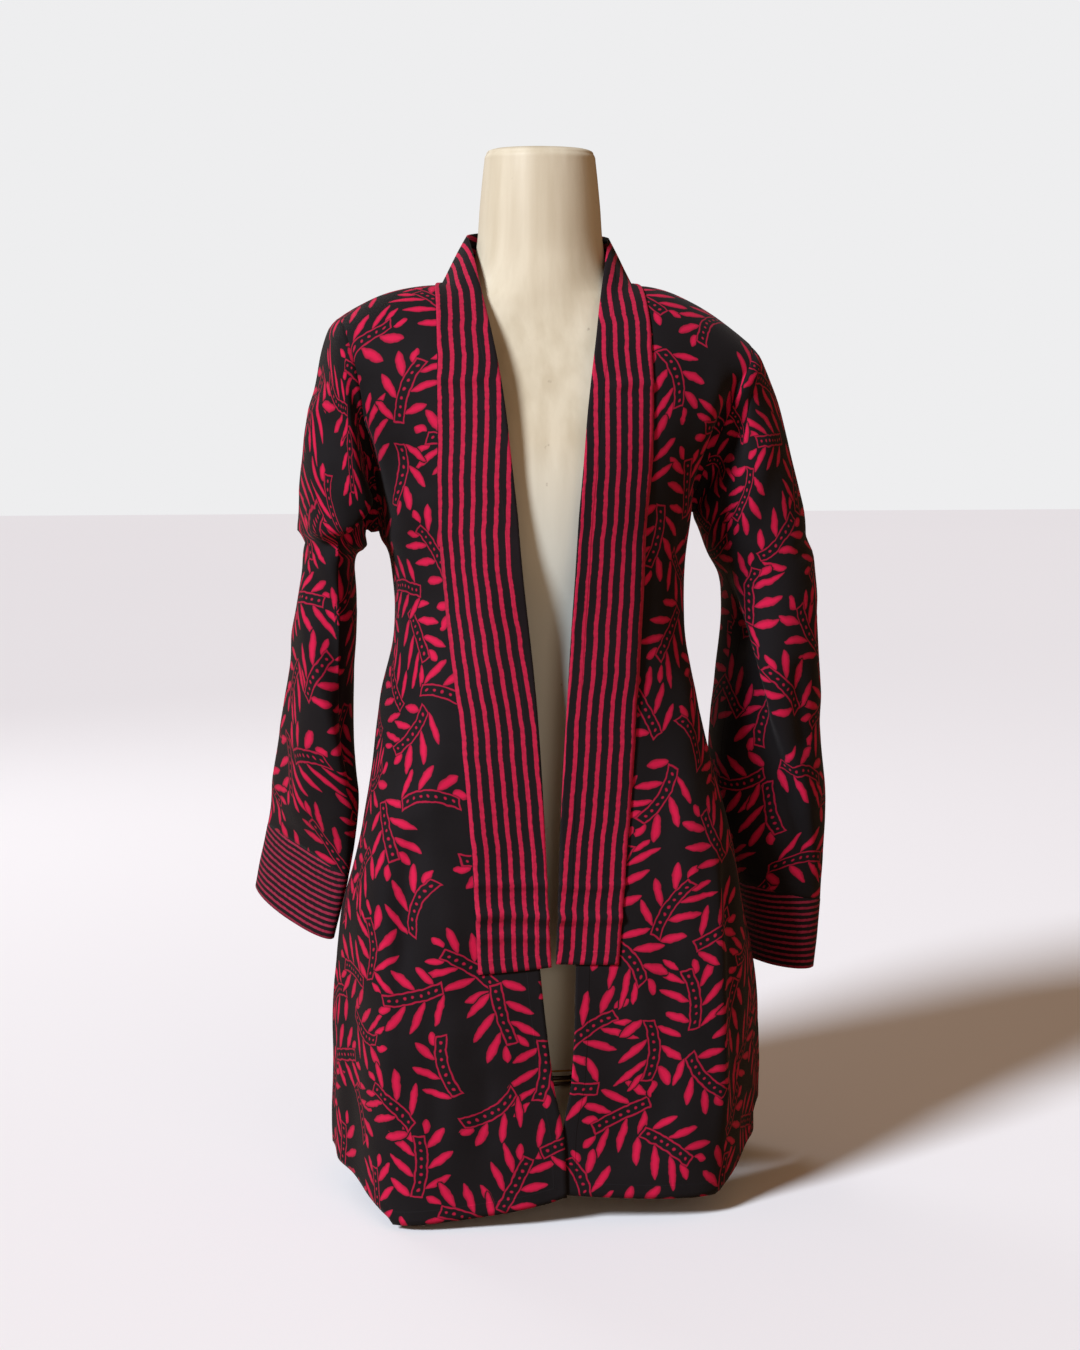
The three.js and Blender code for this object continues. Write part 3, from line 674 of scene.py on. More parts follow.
def lapel_point(half_name, s, h):
    """The band on the front: its inner third hangs free of the front's own edge."""
    if s <= LAP_SHARE:
        return above_front(half_name, SEAM_SHARE + (1 - SEAM_SHARE) * s / LAP_SHARE, h)
    edges = edge_row(h)
    inner = body_point(half_name, "front", angle_at(half_name, edges[half_name + "_inner"], h), h)
    inner.y -= BAND_LIFT * (2 - max(h, 1))
    inner.z += edges["rise"] + BAND_LIFT * (max(h, 1) - 1)
    return above_front(half_name, 1, h).lerp(inner, (s - LAP_SHARE) / (1 - LAP_SHARE))


def collar_point(half_name, s, turn):
    """The band round the neck: turn is 0 beside the neck and a quarter turn behind it."""
    half, end = HALVES[half_name], edge_row(2)
    outer, edge, inner = (abs(end[half_name + part]) for part in ("_outer", "_edge", "_inner"))
    lap = BAND_LAP * max(1 - s / LAP_SHARE, 0)
    x = (edge + (outer - edge) * lap / BAND_LAP) * math.cos(turn)
    low = neck_point(half, x, (NECK_HALF_DEPTH + lap) * math.sin(turn))
    if s <= LAP_SHARE:
        return low
    high = Vector((
        half["sign"] * inner * math.cos(turn),
        COLLAR_HALF_DEPTH * math.sin(turn),
        RIDGE + end["rise"] + COLLAR_RISE * math.sin(turn) + BAND_LIFT,
    ))
    return low.lerp(high, (s - LAP_SHARE) / (1 - LAP_SHARE))


print("band ends at", [round(v) for v in band_point("right", 0, 0)])

# %% Bands
BAND_COLUMNS, BAND_ROWS = 18, 360
for half_name in ("right", "left"):
    name = "front_band_" + half_name
    cloth[name] = hang_panel(
        name, BAND_COLUMNS, BAND_ROWS,
        lambda s, t: band_point(half_name, s, t),
        BODY_CREASES + PRESSED_CREASES,
        flip=half_name == "left",
        thickness=BAND_CLOTH,
    )

# %% [markdown]
# ## Sleeves and cuffs
# A sleeve is a tube. Its first ring is the armhole itself, and each next ring is a flat oval
# with its own place, size and turn: rise lifts its outer side above its inner one, and dip lets
# its front hang below its back. Each point runs down a smooth curve through the rings. A
# straight tube could be bent by bones instead, but rings show at once where a sleeve widens.
# The cuff is the last span of the same tube, cut from striped cloth.

# %% Rings of the sleeves, in millimetres
SLEEVE_COLUMNS = ("x", "y", "z", "half_width", "half_depth", "turn", "rise", "dip")
SLEEVES = {
    "right": (
        (180, 2, 692, 23, 71, 0, 62, 0),
        (184, 8, 664, 28, 70, 0, 47, 0),
        (188, 12, 631, 29, 68, 0, 25, 0),
        (191, 16, 594, 25, 68, 2, 9, 0),
        (193, 22, 533, 26, 72, 4, 3, 0),
        (202, 31, 441, 29, 70, 14, 0, 5),
        (207, 40, 371, 28, 64, 26, 0, 11),
        (214, 60, 311, 18, 61, 32, 12, 15),
        (226, 66, 253, 17, 60, 32, 0, 18),
    ),
    "left": (
        (180, 2, 688, 34, 71, 0, 60, 0),
        (191, 8, 657, 39, 72, 0, 43, 0),
        (204, 12, 616, 42, 72, 0, 25, 0),
        (217, 18, 575, 42, 72, 0, 7, 0),
        (220, 22, 535, 41, 71, 0, 2, 0),
        (219, 26, 480, 45, 70, 2, 0, 0),
        (221, 34, 406, 50, 66, 8, 0, 0),
        (225, 42, 336, 52, 62, 14, 0, 0),
        (235, 45, 266, 36, 58, 18, -8, 0),
        (237, 46, 198, 23, 56, 18, 0, 0),
    ),
}
SLEEVE_CREASES = {
    "right": crease_rows(
        "front", "tuck",
        (26, -11, (-152, 656), (-172, 638), (-188, 622), (-202, 614), (-216, 610)),
        (22, -11, (-214, 590), (-207, 540), (-200, 483), (-188, 430), (-176, 372)),
    ) + crease_rows(
        "front", "fold",
        (22, -8, (-160, 604), (-180, 590), (-200, 584)),
        (16, -10, (-190, 590), (-182, 520), (-173, 450), (-164, 380)),
        (10, 4, (-216, 470), (-214, 400), (-226, 330)),
        (8, -3, (-238, 430), (-236, 380), (-246, 330)),
        (9, -4, (-196, 726), (-192, 694), (-182, 655)),
        (9, 4, (-204, 744), (-206, 700), (-200, 650)),
    ) + crease_rows(
        "back", "tuck",
        (18, -8, (-172, 650), (-196, 622), (-226, 604)),
    ) + crease_rows(
        "back", "fold",
        (9, 5, (-226, 560), (-210, 470), (-206, 380), (-220, 300)),
        (9, -5, (-190, 540), (-188, 470), (-196, 400)),
    ),
    "left": crease_rows(
        "front", "tuck",
        (22, 11, (174, 590), (192, 510), (210, 440), (234, 384), (258, 300)),
    ) + crease_rows(
        "front", "fold",
        (18, -11, (168, 566), (182, 480), (202, 400), (222, 320)),
        (8, -4, (232, 500), (236, 452), (246, 400)),
        (12, 4, (250, 580), (252, 500), (262, 430)),
        (9, -4, (262, 640), (250, 606), (226, 590)),
        (10, 4, (200, 712), (190, 660), (178, 610)),
        (10, -6, (190, 762), (176, 716), (164, 664), (160, 620)),
    ) + crease_rows(
        "back", "tuck",
        (16, 6, (170, 640), (200, 600), (240, 570)),
    ) + crease_rows(
        "back", "fold",
        (10, 5, (250, 560), (232, 480), (226, 380), (240, 300)),
        (9, -5, (200, 540), (204, 460), (196, 380)),
    ),
}
STUB_OUT, STUB_DOWN = 7, 8  # how the sleeve leaves the armhole; underneath it goes straight out
print("sleeve rings:", {k: len(v) for k, v in SLEEVES.items()})

# %% A point on a sleeve
def ring_points(half_name, f):
    """Where the line at share f round the tube crosses each ring: 0 on top, 0.5 underneath."""
    half = HALVES[half_name]
    f = f % 1
    around = 2 * math.pi * f
    face = "front" if f < 0.5 else "back"
    armhole = body_point(half_name, face, QUARTER, 1 + abs(1 - 2 * f))
    down = STUB_DOWN * (1 + math.cos(around)) / 2
    points = [armhole, armhole + Vector((half["sign"] * STUB_OUT, 0, -down))]
    for values in SLEEVES[half_name]:
        ring = dict(zip(SLEEVE_COLUMNS, values))
        turn = math.radians(ring["turn"])
        out, ahead = ring["half_width"] * math.cos(around), ring["half_depth"] * math.sin(around)
        points.append(Vector((
            half["sign"] * (ring["x"] + out * math.cos(turn)) + ahead * math.sin(turn),
            ring["y"] - ahead * math.cos(turn) + half["sign"] * out * math.sin(turn),
            ring["z"] + ring["rise"] * math.cos(around) - ring["dip"] * math.sin(around),
        )))
    return points


print("sleeve ends at", [round(v) for v in ring_points("left", 0)[-1]])

# %% A smooth tube through the rings
CURVE_STEPS = 40  # steps between two rings, to measure the tube's length
LEAST_GAP = 1e-4  # keeps two rings at the same place from dividing by zero


def on_curve(points, key):
    """A place on the centripetal curve through the points; key 1.5 is halfway from 1 to 2."""
    i = min(int(key), len(points) - 2)
    t = key - i
    p1, p2 = points[i], points[i + 1]
    p0 = points[i - 1] if i > 0 else p1 * 2 - p2
    p3 = points[i + 2] if i + 2 < len(points) else p2 * 2 - p1
    pairs = (p0, p1), (p1, p2), (p2, p3)
    d0, d1, d2 = (max((b - a).length, LEAST_GAP) ** 0.5 for a, b in pairs)
    slope_1 = ((p1 - p0) / d0 - (p2 - p0) / (d0 + d1) + (p2 - p1) / d1) * d1
    slope_2 = ((p2 - p1) / d1 - (p3 - p1) / (d1 + d2) + (p3 - p2) / d2) * d1
    bend = (p1 * 2 - p2 * 2 + slope_1 + slope_2) * t**3
    return bend + (p2 * 3 - p1 * 3 - slope_1 * 2 - slope_2) * t * t + slope_1 * t + p1


def tube_place(half_name, first, last, sides):
    """Place function of a tube from ring key first to last, with its rows evenly spaced."""
    lines = [ring_points(half_name, i / sides + 0.5) for i in range(sides + 1)]
    keys = [first + k / CURVE_STEPS for k in range(CURVE_STEPS * (last - first) + 1)]
    middle = [sum((on_curve(line, key) for line in lines[:-1]), Vector()) / sides for key in keys]
    run = [0]
    for a, b in zip(middle, middle[1:]):
        run.append(run[-1] + (b - a).length)

    def place(s, t):
        goal = run[-1] * (1 - t)
        k = next((i for i, length in enumerate(run) if length > goal), len(run) - 1)
        share = (goal - run[k - 1]) / (run[k] - run[k - 1])
        return on_curve(lines[round(s * sides)], keys[k - 1] + (keys[k] - keys[k - 1]) * share)

    return place


print("middle of the left cuff", [round(v) for v in tube_place("left", 10, 11, 4)(0, 0.5)])

# %% Sleeves and cuffs
SLEEVE_SIDES, SLEEVE_ROWS, CUFF_ROWS = 96, 110, 16
SLEEVE_LENGTH = 460  # from the armhole to the cuff
SLEEVE_SHIFTS = {"right": (0.2, 1.4), "left": (1.7, 0.9)}
for half_name in ("right", "left"):
    cuff_key = len(SLEEVES[half_name])
    for name, first, last, rows, from_armhole, thickness in (
        ("sleeve_tube_" + half_name, 0, cuff_key, SLEEVE_ROWS, 0, CLOTH),
        ("cuff_band_" + half_name, cuff_key, cuff_key + 1, CUFF_ROWS, SLEEVE_LENGTH, CUFF_CLOTH),
    ):
        cloth[name] = hang_panel(
            name, SLEEVE_SIDES, rows,
            tube_place(half_name, first, last, SLEEVE_SIDES),
            SLEEVE_CREASES[half_name],
            flip=half_name == "left",
            loose=lambda s, t: smooth(((1 - t) * SLEEVE_LENGTH + from_armhole) / SEAM_HOLD),
            closed=True,
            thickness=thickness,
            shift=SLEEVE_SHIFTS[half_name],
        )

# %% [markdown]
# ## The dress form
# The form is a smooth lacquered shell: shoulders without arms, a tall tapered neck with a
# rounded flat top, and a joint ring low down with a short foot below it. Each part could be
# cut from a sphere or a cylinder, but its section changes all the way up. So it is a tube drawn
# through level ovals, which is closed at its ends.

# %% Rows of the form, in millimetres
FORM_COLUMNS = ("z", "half_x", "front", "back", "n")
TORSO_ROWS = (
    (126, 139, -92, 100, 2.3), (200, 144, -97, 108, 2.3), (290, 146, -100, 108, 2.3),
    (380, 136, -100, 94, 2.3), (470, 118, -96, 78, 2.3), (530, 114, -98, 74, 2.3),
    (600, 124, -116, 82, 2.3), (660, 134, -120, 90, 2.4), (710, 146, -108, 94, 2.5),
    (750, 158, -90, 90, 2.6), (780, 164, -74, 80, 2.5), (800, 156, -64, 70, 2.3),
    (814, 134, -59, 62, 2.1), (824, 106, -57, 58, 2), (832, 80, -56, 56, 2),
    (846, 65, -54, 54, 2), (870, 58, -50, 51, 2), (910, 54.5, -48, 49, 2),
    (948, 50.5, -45, 46, 2), (954, 49, -43, 44, 2), (959, 42, -35, 37, 2),
    (960, 20, -14, 16, 2),
)
RING_ROWS = (
    (116.3, 137, -90, 98, 2.3), (117.4, 139.3, -92.3, 100.3, 2.3),
    (119.6, 139.5, -92.5, 100.5, 2.3), (120.6, 138.2, -91.2, 99.2, 2.3),
    (121.6, 138.2, -91.2, 99.2, 2.3), (122.6, 139.5, -92.5, 100.5, 2.3),
    (124.8, 139.3, -92.3, 100.3, 2.3), (125.7, 137, -90, 98, 2.3),
)
LOWER_ROWS = (
    (12.3, 96, -36, 72, 2.2), (30, 104, -44, 78, 2.2), (60, 124, -66, 90, 2.3),
    (90, 134, -84, 96, 2.3), (113, 137.6, -90.6, 98.6, 2.3), (116, 136.6, -89.6, 97.6, 2.3),
)
print("the form is", TORSO_ROWS[-1][0], "mm high")

# %% The form's parts
FORM_SIDES = 96
FORM_JOIN = 1e-5  # metres


def form_part(name, rows, steps):
    """A closed tube with steps levels between each two rows."""
    heights = []
    for a, b in zip(rows, rows[1:]):
        heights += [a[0] + (b[0] - a[0]) * k / steps for k in range(steps)]
    heights.append(rows[-1][0])
    levels = len(heights) - 1
    bm = bmesh.new()
    bmesh.ops.create_grid(bm, x_segments=FORM_SIDES, y_segments=levels, size=0.5)
    for v in bm.verts:
        angle = (v.co.x + 0.5) * 2 * math.pi
        row = read_table(rows, FORM_COLUMNS, heights[round((v.co.y + 0.5) * levels)])
        u, ahead = oval(angle, row["n"])
        depth = row["back"] * ahead if ahead > 0 else -row["front"] * ahead
        v.co = Vector((row["half_x"] * u, depth, row["z"])) * MM
    bmesh.ops.remove_doubles(bm, verts=bm.verts, dist=FORM_JOIN)
    rims = [e for e in bm.edges if e.is_boundary]
    bmesh.ops.holes_fill(bm, edges=rims, sides=0)
    bmesh.ops.recalc_face_normals(bm, faces=bm.faces)
    mesh = bpy.data.meshes.new(name)
    bm.to_mesh(mesh)
    bm.free()
    mesh.polygons.foreach_set("use_smooth", [len(p.vertices) == 4 for p in mesh.polygons])
    part = bpy.data.objects.new(name, mesh)
    bpy.context.collection.objects.link(part)
    print(name, len(mesh.vertices), "points")
    return part


form = {
    "form_torso": form_part("form_torso", TORSO_ROWS, 6),
    "form_joint_ring": form_part("form_joint_ring", RING_ROWS, 1),
    "form_foot": form_part("form_foot", LOWER_ROWS, 6),
}

# %% [markdown]
# ## Materials
# Every material is built from nodes. One small function adds a node, sets it and links its
# inputs. Where a node is given as an input, its first output in use is linked. Another function
# adds one node for each row of a table of steps, which keeps long sums easy to read.

# %% Node and colour helpers
def linear(hex_colour):
    """The linear numbers that shading needs, from an sRGB colour written as hex."""
    channels = [int(hex_colour[i:i + 2], 16) / 255 for i in (1, 3, 5)]
    values = [c / 12.92 if c <= 0.04045 else ((c + 0.055) / 1.055) ** 2.4 for c in channels]
    return (*values, 1)


def add(tree, kind, inputs=None, **settings):
    """Adds a node. Its inputs, by name or number, are values, hex colours, nodes or sockets."""
    node = tree.nodes.new(kind)
    for name, value in settings.items():
        setattr(node, name, value)
    for key, value in (inputs or {}).items():
        if isinstance(value, bpy.types.Node):
            value = next(output for output in value.outputs if output.enabled)
        if isinstance(value, bpy.types.NodeSocket):
            tree.links.new(value, node.inputs[key])
        else:
            node.inputs[key].default_value = linear(value) if isinstance(value, str) else value
    return node


def run_steps(tree, steps, known, kind="ShaderNodeMath"):
    """Adds one node for each step: (name, operation, values or the names of known ones)."""
    for name, operation, *values in steps:
        inputs = {i: known[v] if isinstance(v, str) else v for i, v in enumerate(values)}
        known[name] = add(tree, kind, inputs, operation=operation)
    return known


def new_material(name):
    material = bpy.data.materials.new(name)
    material.use_nodes = True
    material.node_tree.nodes.clear()
    return material, material.node_tree


VECTOR, NOISE, MIX = "ShaderNodeVectorMath", "ShaderNodeTexNoise", "ShaderNodeMix"
RANGE, BUMP, OUTPUT = "ShaderNodeMapRange", "ShaderNodeBump", "ShaderNodeOutputMaterial"
print("crimson is", [round(c, 3) for c in linear("#d2183c")])

# %% [markdown]
# ## The printed sprig
# The cloth is printed with tossed leaf sprigs. One sprig is a curved bar with a thin outline and
# a row of dots, with lens-shaped leaves raking off both sides. It is drawn with plain
# arithmetic in millimetres: x runs along the bar and y across it. It could be painted as an
# image, but arithmetic stays sharp at any size and can vary each sprig. Both sides of the bar
# are drawn at once, and the far side's leaves start a little further along.

# %% Sprig measures and steps
BAR_HALF, BAR_HALF_WIDTH, OUTLINE = 28, 5.9, 0.85
DOT_PITCH, DOT_RADIUS, DOT_MARGIN = 7.2, 1.5, 2
LEAF_TRIM = 0.2  # keeps a leaf from running on as a hairline
LEAF_FOOT = 2  # how fast a leaf widens where it leaves the bar
LEAF_HALF_WIDTH, LEAF_OUT, SIDE_STEP, LEAF_FULLNESS = 3.9, 5.9, 3.6, 0.64
START_PLAY = 3  # how far a leaf's start varies along the bar
LEAST_LENGTH, LENGTH_PLAY = 0.84, 0.24  # of a leaf's own length
LEAVES = (
    # where a leaf starts along the bar, how far it leans from the bar in degrees, its length
    (-24, 58, 27),
    (-6, 52, 31),
    (12, 44, 31),
    (25, 24, 16),
)
FAR_OUT = -20  # a distance inside a shape, for a place that is far outside it
BEND_PLAY = 0.022  # how much the bends of the bars differ, for each millimetre
LEVEL_AT = 190  # lifts a bent bar back by about its mean sag
BARE_SHARE = 0.16  # share of the sprigs that have leaves on one side only
SPRIG_STEPS = [
    # the bar bends: curve is a small number by chance for each sprig
    ("curve", "MULTIPLY_ADD", "chance_bend", BEND_PLAY, -BEND_PLAY / 2),
    ("x_x", "MULTIPLY", "x", "x"),
    ("sag", "MULTIPLY", "x_x", "curve"),
    ("level", "MULTIPLY", "curve", LEVEL_AT),
    ("y_low", "SUBTRACT", "y", "sag"),
    ("y_bar", "ADD", "y_low", "level"),
    ("off", "ABSOLUTE", "y_bar"),
    ("side", "SIGN", "y_bar"),
    # distance outside the bar's box, and its outline
    ("abs_x", "ABSOLUTE", "x"),
    ("past_end", "SUBTRACT", "abs_x", BAR_HALF),
    ("past_side", "SUBTRACT", "off", BAR_HALF_WIDTH),
    ("outside", "MAXIMUM", "past_end", "past_side"),
    ("from_line", "ADD", "outside", OUTLINE),
    ("line_gap", "ABSOLUTE", "from_line"),
    ("line", "SUBTRACT", OUTLINE, "line_gap"),
    # dots along the middle of the bar
    ("dot_x", "PINGPONG", "x", DOT_PITCH / 2),
    ("dot_x_2", "MULTIPLY", "dot_x", "dot_x"),
    ("dot_r_2", "MULTIPLY_ADD", "y_bar", "y_bar", "dot_x_2"),
    ("dot_r", "SQRT", "dot_r_2"),
    ("dot_in", "SUBTRACT", DOT_RADIUS, "dot_r"),
    ("dot_end", "SUBTRACT", BAR_HALF - DOT_MARGIN, "abs_x"),
    ("dot", "MINIMUM", "dot_in", "dot_end"),
    ("marks", "MAXIMUM", "line", "dot"),
    # the leaves' own places: out from the bar, and along it on each side
    ("out", "SUBTRACT", "off", LEAF_OUT),
    ("stepped", "MULTIPLY_ADD", "side", SIDE_STEP, "x"),
]


def leaf_steps(start, lean, length):
    """Steps of one leaf on both sides: how far inside it a place is, and the most so far."""
    c, d = math.cos(math.radians(lean)), math.sin(math.radians(lean))
    return [
        ("start", "MULTIPLY_ADD", "chance_leaf", START_PLAY, -start - START_PLAY / 2),
        ("from_start", "ADD", "stepped", "start"),
        ("out_part", "MULTIPLY", "out", d),
        ("along", "MULTIPLY_ADD", "from_start", c, "out_part"),
        ("cross_part", "MULTIPLY", "out", -c),
        ("cross", "MULTIPLY_ADD", "from_start", d, "cross_part"),
        ("cross_gap", "ABSOLUTE", "cross"),
        ("long", "MULTIPLY_ADD", "chance_side", LENGTH_PLAY * length, LEAST_LENGTH * length),
        ("t", "DIVIDE", "along", "long"),
        ("rest", "SUBTRACT", 1, "t"),
        ("t_rest", "MULTIPLY", "t", "rest"),
        ("t_held", "MAXIMUM", "t_rest", 0),
        ("full", "POWER", "t_held", LEAF_FULLNESS),
        ("lens", "MULTIPLY", "full", 4**LEAF_FULLNESS * LEAF_HALF_WIDTH),
        ("in_lens", "SUBTRACT", "lens", "cross_gap"),
        ("past_tip", "MINIMUM", "t_rest", 0),
        ("leaf", "MULTIPLY_ADD", "past_tip", length, "in_lens"),
        ("any_leaf", "MAXIMUM", "leaf", "any_leaf"),
    ]


for leaf in LEAVES:
    SPRIG_STEPS += leaf_steps(*leaf)
SPRIG_STEPS += [
    # leaves start outside the bar, and some sprigs have them on one side only
    ("off_bar", "MULTIPLY", "out", LEAF_FOOT),
    ("leaf_clear", "MINIMUM", "any_leaf", "off_bar"),
    ("leaf_trim", "SUBTRACT", "leaf_clear", LEAF_TRIM),
    ("bare", "LESS_THAN", "chance_bend", BARE_SHARE),
    ("lower", "LESS_THAN", "side", 0),
    ("no_leaf", "MULTIPLY", "bare", "lower"),
    ("leaf_kept", "MULTIPLY_ADD", "no_leaf", FAR_OUT, "leaf_trim"),
    # how far inside any printed shape a place is, and how far inside the whole sprig
    ("inside", "MAXIMUM", "marks", "leaf_kept"),
    ("in_bar", "MULTIPLY", "outside", -1),
    ("covered", "MAXIMUM", "in_bar", "leaf_kept"),
]
print(len(SPRIG_STEPS), "steps draw a sprig")

# %% [markdown]
# ## Tossing the sprigs
# The cloth is divided into square cells with one sprig in the middle of each, turned by its own
# random angle. Two such layers, each filling the other's gaps, let neighbours come close
# without being cut off at a cell's border.

# %% A node group that prints one layer of sprigs
CELL = 90  # millimetres, so sprigs of the two layers are 64 mm apart
CELL_PLAY = 0.06  # share of a cell by which a sprig is moved off its middle
SPRIG_SHIFT = 8  # the bar's middle lies this far behind the sprig's middle
SIDE_SEED = (0, 0, 0.37)  # gives the two sides of a sprig different chances


def sprig_layer():
    """From a place in millimetres and a seed, how far inside a printed shape and a sprig it is."""
    group = bpy.data.node_groups.new("sprig layer", "ShaderNodeTree")
    for name, way, kind in (
        ("place", "INPUT", "Vector"), ("seed", "INPUT", "Vector"),
        ("inside", "OUTPUT", "Float"), ("covered", "OUTPUT", "Float"),
    ):
        group.interface.new_socket(name, in_out=way, socket_type="NodeSocket" + kind)
    given = add(group, "NodeGroupInput")
    known = run_steps(group, (
        ("shifted", "ADD", "place", "seed"),
        ("cells", "MULTIPLY", "shifted", (1 / CELL, 1 / CELL, 0)),
        ("number", "FLOOR", "cells"),
        ("share", "FRACTION", "cells"),
        ("chance_at", "ADD", "number", "seed"),
    ), {"place": given.outputs[0], "seed": given.outputs[1]}, VECTOR)
    chance = add(group, "ShaderNodeTexWhiteNoise", {"Vector": known["chance_at"]})
    known["chance"] = chance.outputs["Color"]
    run_steps(group, (
        ("middle", "ADD", "share", (-0.5, -0.5, 0)),
        ("nudged", "MULTIPLY_ADD", "chance", (CELL_PLAY, CELL_PLAY, 0), "middle"),
        ("local", "MULTIPLY", "nudged", (CELL, CELL, 0)),
    ), known, VECTOR)
    chances = add(group, "ShaderNodeSeparateColor", {0: known["chance"]}).outputs
    turn = add(group, "ShaderNodeMath", {0: chances[0], 1: 2 * math.pi}, operation="MULTIPLY")
    turned = add(group, "ShaderNodeVectorRotate", {
        "Vector": known["local"], "Angle": turn,
    }, rotation_type="Z_AXIS")
    centred = add(group, VECTOR, {0: turned, 1: (SPRIG_SHIFT, 0, 0)})
    x, y, _ = add(group, "ShaderNodeSeparateXYZ", {0: centred}).outputs
    upper = add(group, "ShaderNodeMath", {0: y, 1: 0}, operation="GREATER_THAN")
    side_at = add(group, VECTOR, {
        0: known["chance"], 1: SIDE_SEED, 2: upper,
    }, operation="MULTIPLY_ADD")
    side_chance = add(group, "ShaderNodeTexWhiteNoise", {"Vector": side_at})
    drawn = run_steps(group, SPRIG_STEPS, {
        "x": x, "y": y, "chance_bend": chances[1], "chance_leaf": chances[2],
        "chance_side": side_chance, "any_leaf": FAR_OUT,
    })
    add(group, "NodeGroupOutput", {0: drawn["inside"], 1: drawn["covered"]})
    print("sprig layer of", len(group.nodes), "nodes")
    return group


SPRIG_LAYER = sprig_layer()

# %% [markdown]
# ## Cotton
# Plain-weave cotton is matt, with a faint sheen across the threads and a fine grid of raised
# yarns. The yarns are about 0.4 mm apart, too fine to show, so they are drawn 1 mm apart. Ink
# sinks into the cloth, so printed shapes have soft, slightly wavering edges.

# %% What both cottons share
TO_MM = (1000, 1000, 0)
WAVER_SIZE, WAVER_PLAY = 9.09, 2.6  # size and reach of the ink's waver
WEAR_SIZE = 50  # size of the paler, worn places
THREAD_PITCH = 1


def cotton_base(tree):
    """Places in millimetres as they are and wavered, the weave's height, and the wear."""
    uv = add(tree, "ShaderNodeUVMap", uv_map="Print")
    flat = add(tree, VECTOR, {0: uv, 1: TO_MM}, operation="MULTIPLY")
    waver = add(tree, NOISE, {
        "Vector": flat, "Scale": 1 / WAVER_SIZE, "Detail": 1.5,
    }, noise_dimensions="2D")
    shake = add(tree, VECTOR, {
        0: waver.outputs["Color"], 1: (WAVER_PLAY, WAVER_PLAY, 0), 2: flat,
    }, operation="MULTIPLY_ADD")
    threads = {}
    for way in ("X", "Y"):  # a wave texture of scale 1 has a wave every 2 pi / 20
        wave = add(tree, "ShaderNodeTexWave", {
            "Vector": flat, "Scale": 2 * math.pi / 20 / THREAD_PITCH,
            "Distortion": 0.6, "Detail": 1,
        }, bands_direction=way)
        threads[way] = wave.outputs["Fac"]
    weave = run_steps(tree, [("weave", "MAXIMUM", "X", "Y")], threads)["weave"]
    wear = add(tree, NOISE, {
        "Vector": flat, "Scale": 1 / WEAR_SIZE, "Detail": 4,
    }, noise_dimensions="2D")
    return flat, shake, weave, wear


print("cotton threads are drawn", THREAD_PITCH, "mm apart")

# %% Turned edges with their stitches, in metres
HEM_FROM, HEM_TO = 0.0118, 0.0126  # where the step of the turned edge begins and ends
STITCH_AT, STITCH_HALF = 0.0108, 0.0005
STITCH_LENGTH, STITCH_GAP, STITCH_DEPTH = 0.0016, 0.0005, 1.2


def edge_height(tree):
    """A turned hem 12 mm wide: a small step, and a dashed line of stitches beside it."""
    uv = add(tree, "ShaderNodeUVMap", uv_map="Edges")
    side, up, _ = add(tree, "ShaderNodeSeparateXYZ", {0: uv}).outputs
    known = run_steps(tree, (
        ("nearest", "MINIMUM", "side", "up"),
        ("in_line", "COMPARE", "nearest", STITCH_AT, STITCH_HALF),
        ("along", "ADD", "side", "up"),
        ("dash", "PINGPONG", "along", STITCH_LENGTH),
        ("on", "GREATER_THAN", "dash", STITCH_GAP),
        ("stitch", "MULTIPLY", "in_line", "on"),
    ), {"side": side, "up": up})
    known["step"] = add(tree, RANGE, {0: known["nearest"], 1: HEM_FROM, 2: HEM_TO, 3: 1, 4: 0})
    sewn = [("sewn", "MULTIPLY_ADD", "stitch", -STITCH_DEPTH, "step")]
    return run_steps(tree, sewn, known)["sewn"]


print("hems are", round(HEM_TO * 1000), "mm wide")

# %% Ink on cotton
WEAVE_DEPTH, HEM_DEPTH = 0.0004, 0.0006


def finish_cotton(tree, weave, wear, grounds, ink, redness, reds):
    """Crimson ink on a dark ground, and the relief of the threads and of the turned edges."""
    ground = add(tree, MIX, {0: wear, 6: grounds[0], 7: grounds[1]}, data_type="RGBA")
    red = add(tree, MIX, {0: redness, 6: reds[0], 7: reds[1]}, data_type="RGBA")
    colour = add(tree, MIX, {0: ink, 6: ground, 7: red}, data_type="RGBA")
    fine = add(tree, BUMP, {"Strength": 0.25, "Distance": WEAVE_DEPTH, "Height": weave})
    bump = add(tree, BUMP, {
        "Strength": 0.6, "Distance": HEM_DEPTH, "Height": edge_height(tree), "Normal": fine,
    })
    shader = add(tree, "ShaderNodeBsdfPrincipled", {
        "Base Color": colour, "Roughness": 0.8, "Specular IOR Level": 0.13,
        "Sheen Weight": 0.03, "Sheen Roughness": 0.5, "Normal": bump,
    })
    add(tree, OUTPUT, {0: shader})


print("ink helper ready")

# %% Printed cotton: crimson sprigs on black
LATTICE_TURN = math.radians(14)
LAYER_SEEDS = (3, 5, 2), (3 + CELL / 2, 5 + CELL / 2, 9)
LAYER_GAP = -1  # a sprig of the second layer stops this far outside one of the first
INK_EDGE, HEART_EDGE = (-0.15, 0.3), (0.3, 2.4)  # the ink's soft edge, and its fuller middle
PRINT_BLACKS, PRINT_REDS = ("#0b090b", "#161316"), ("#8c1030", "#ba1340")


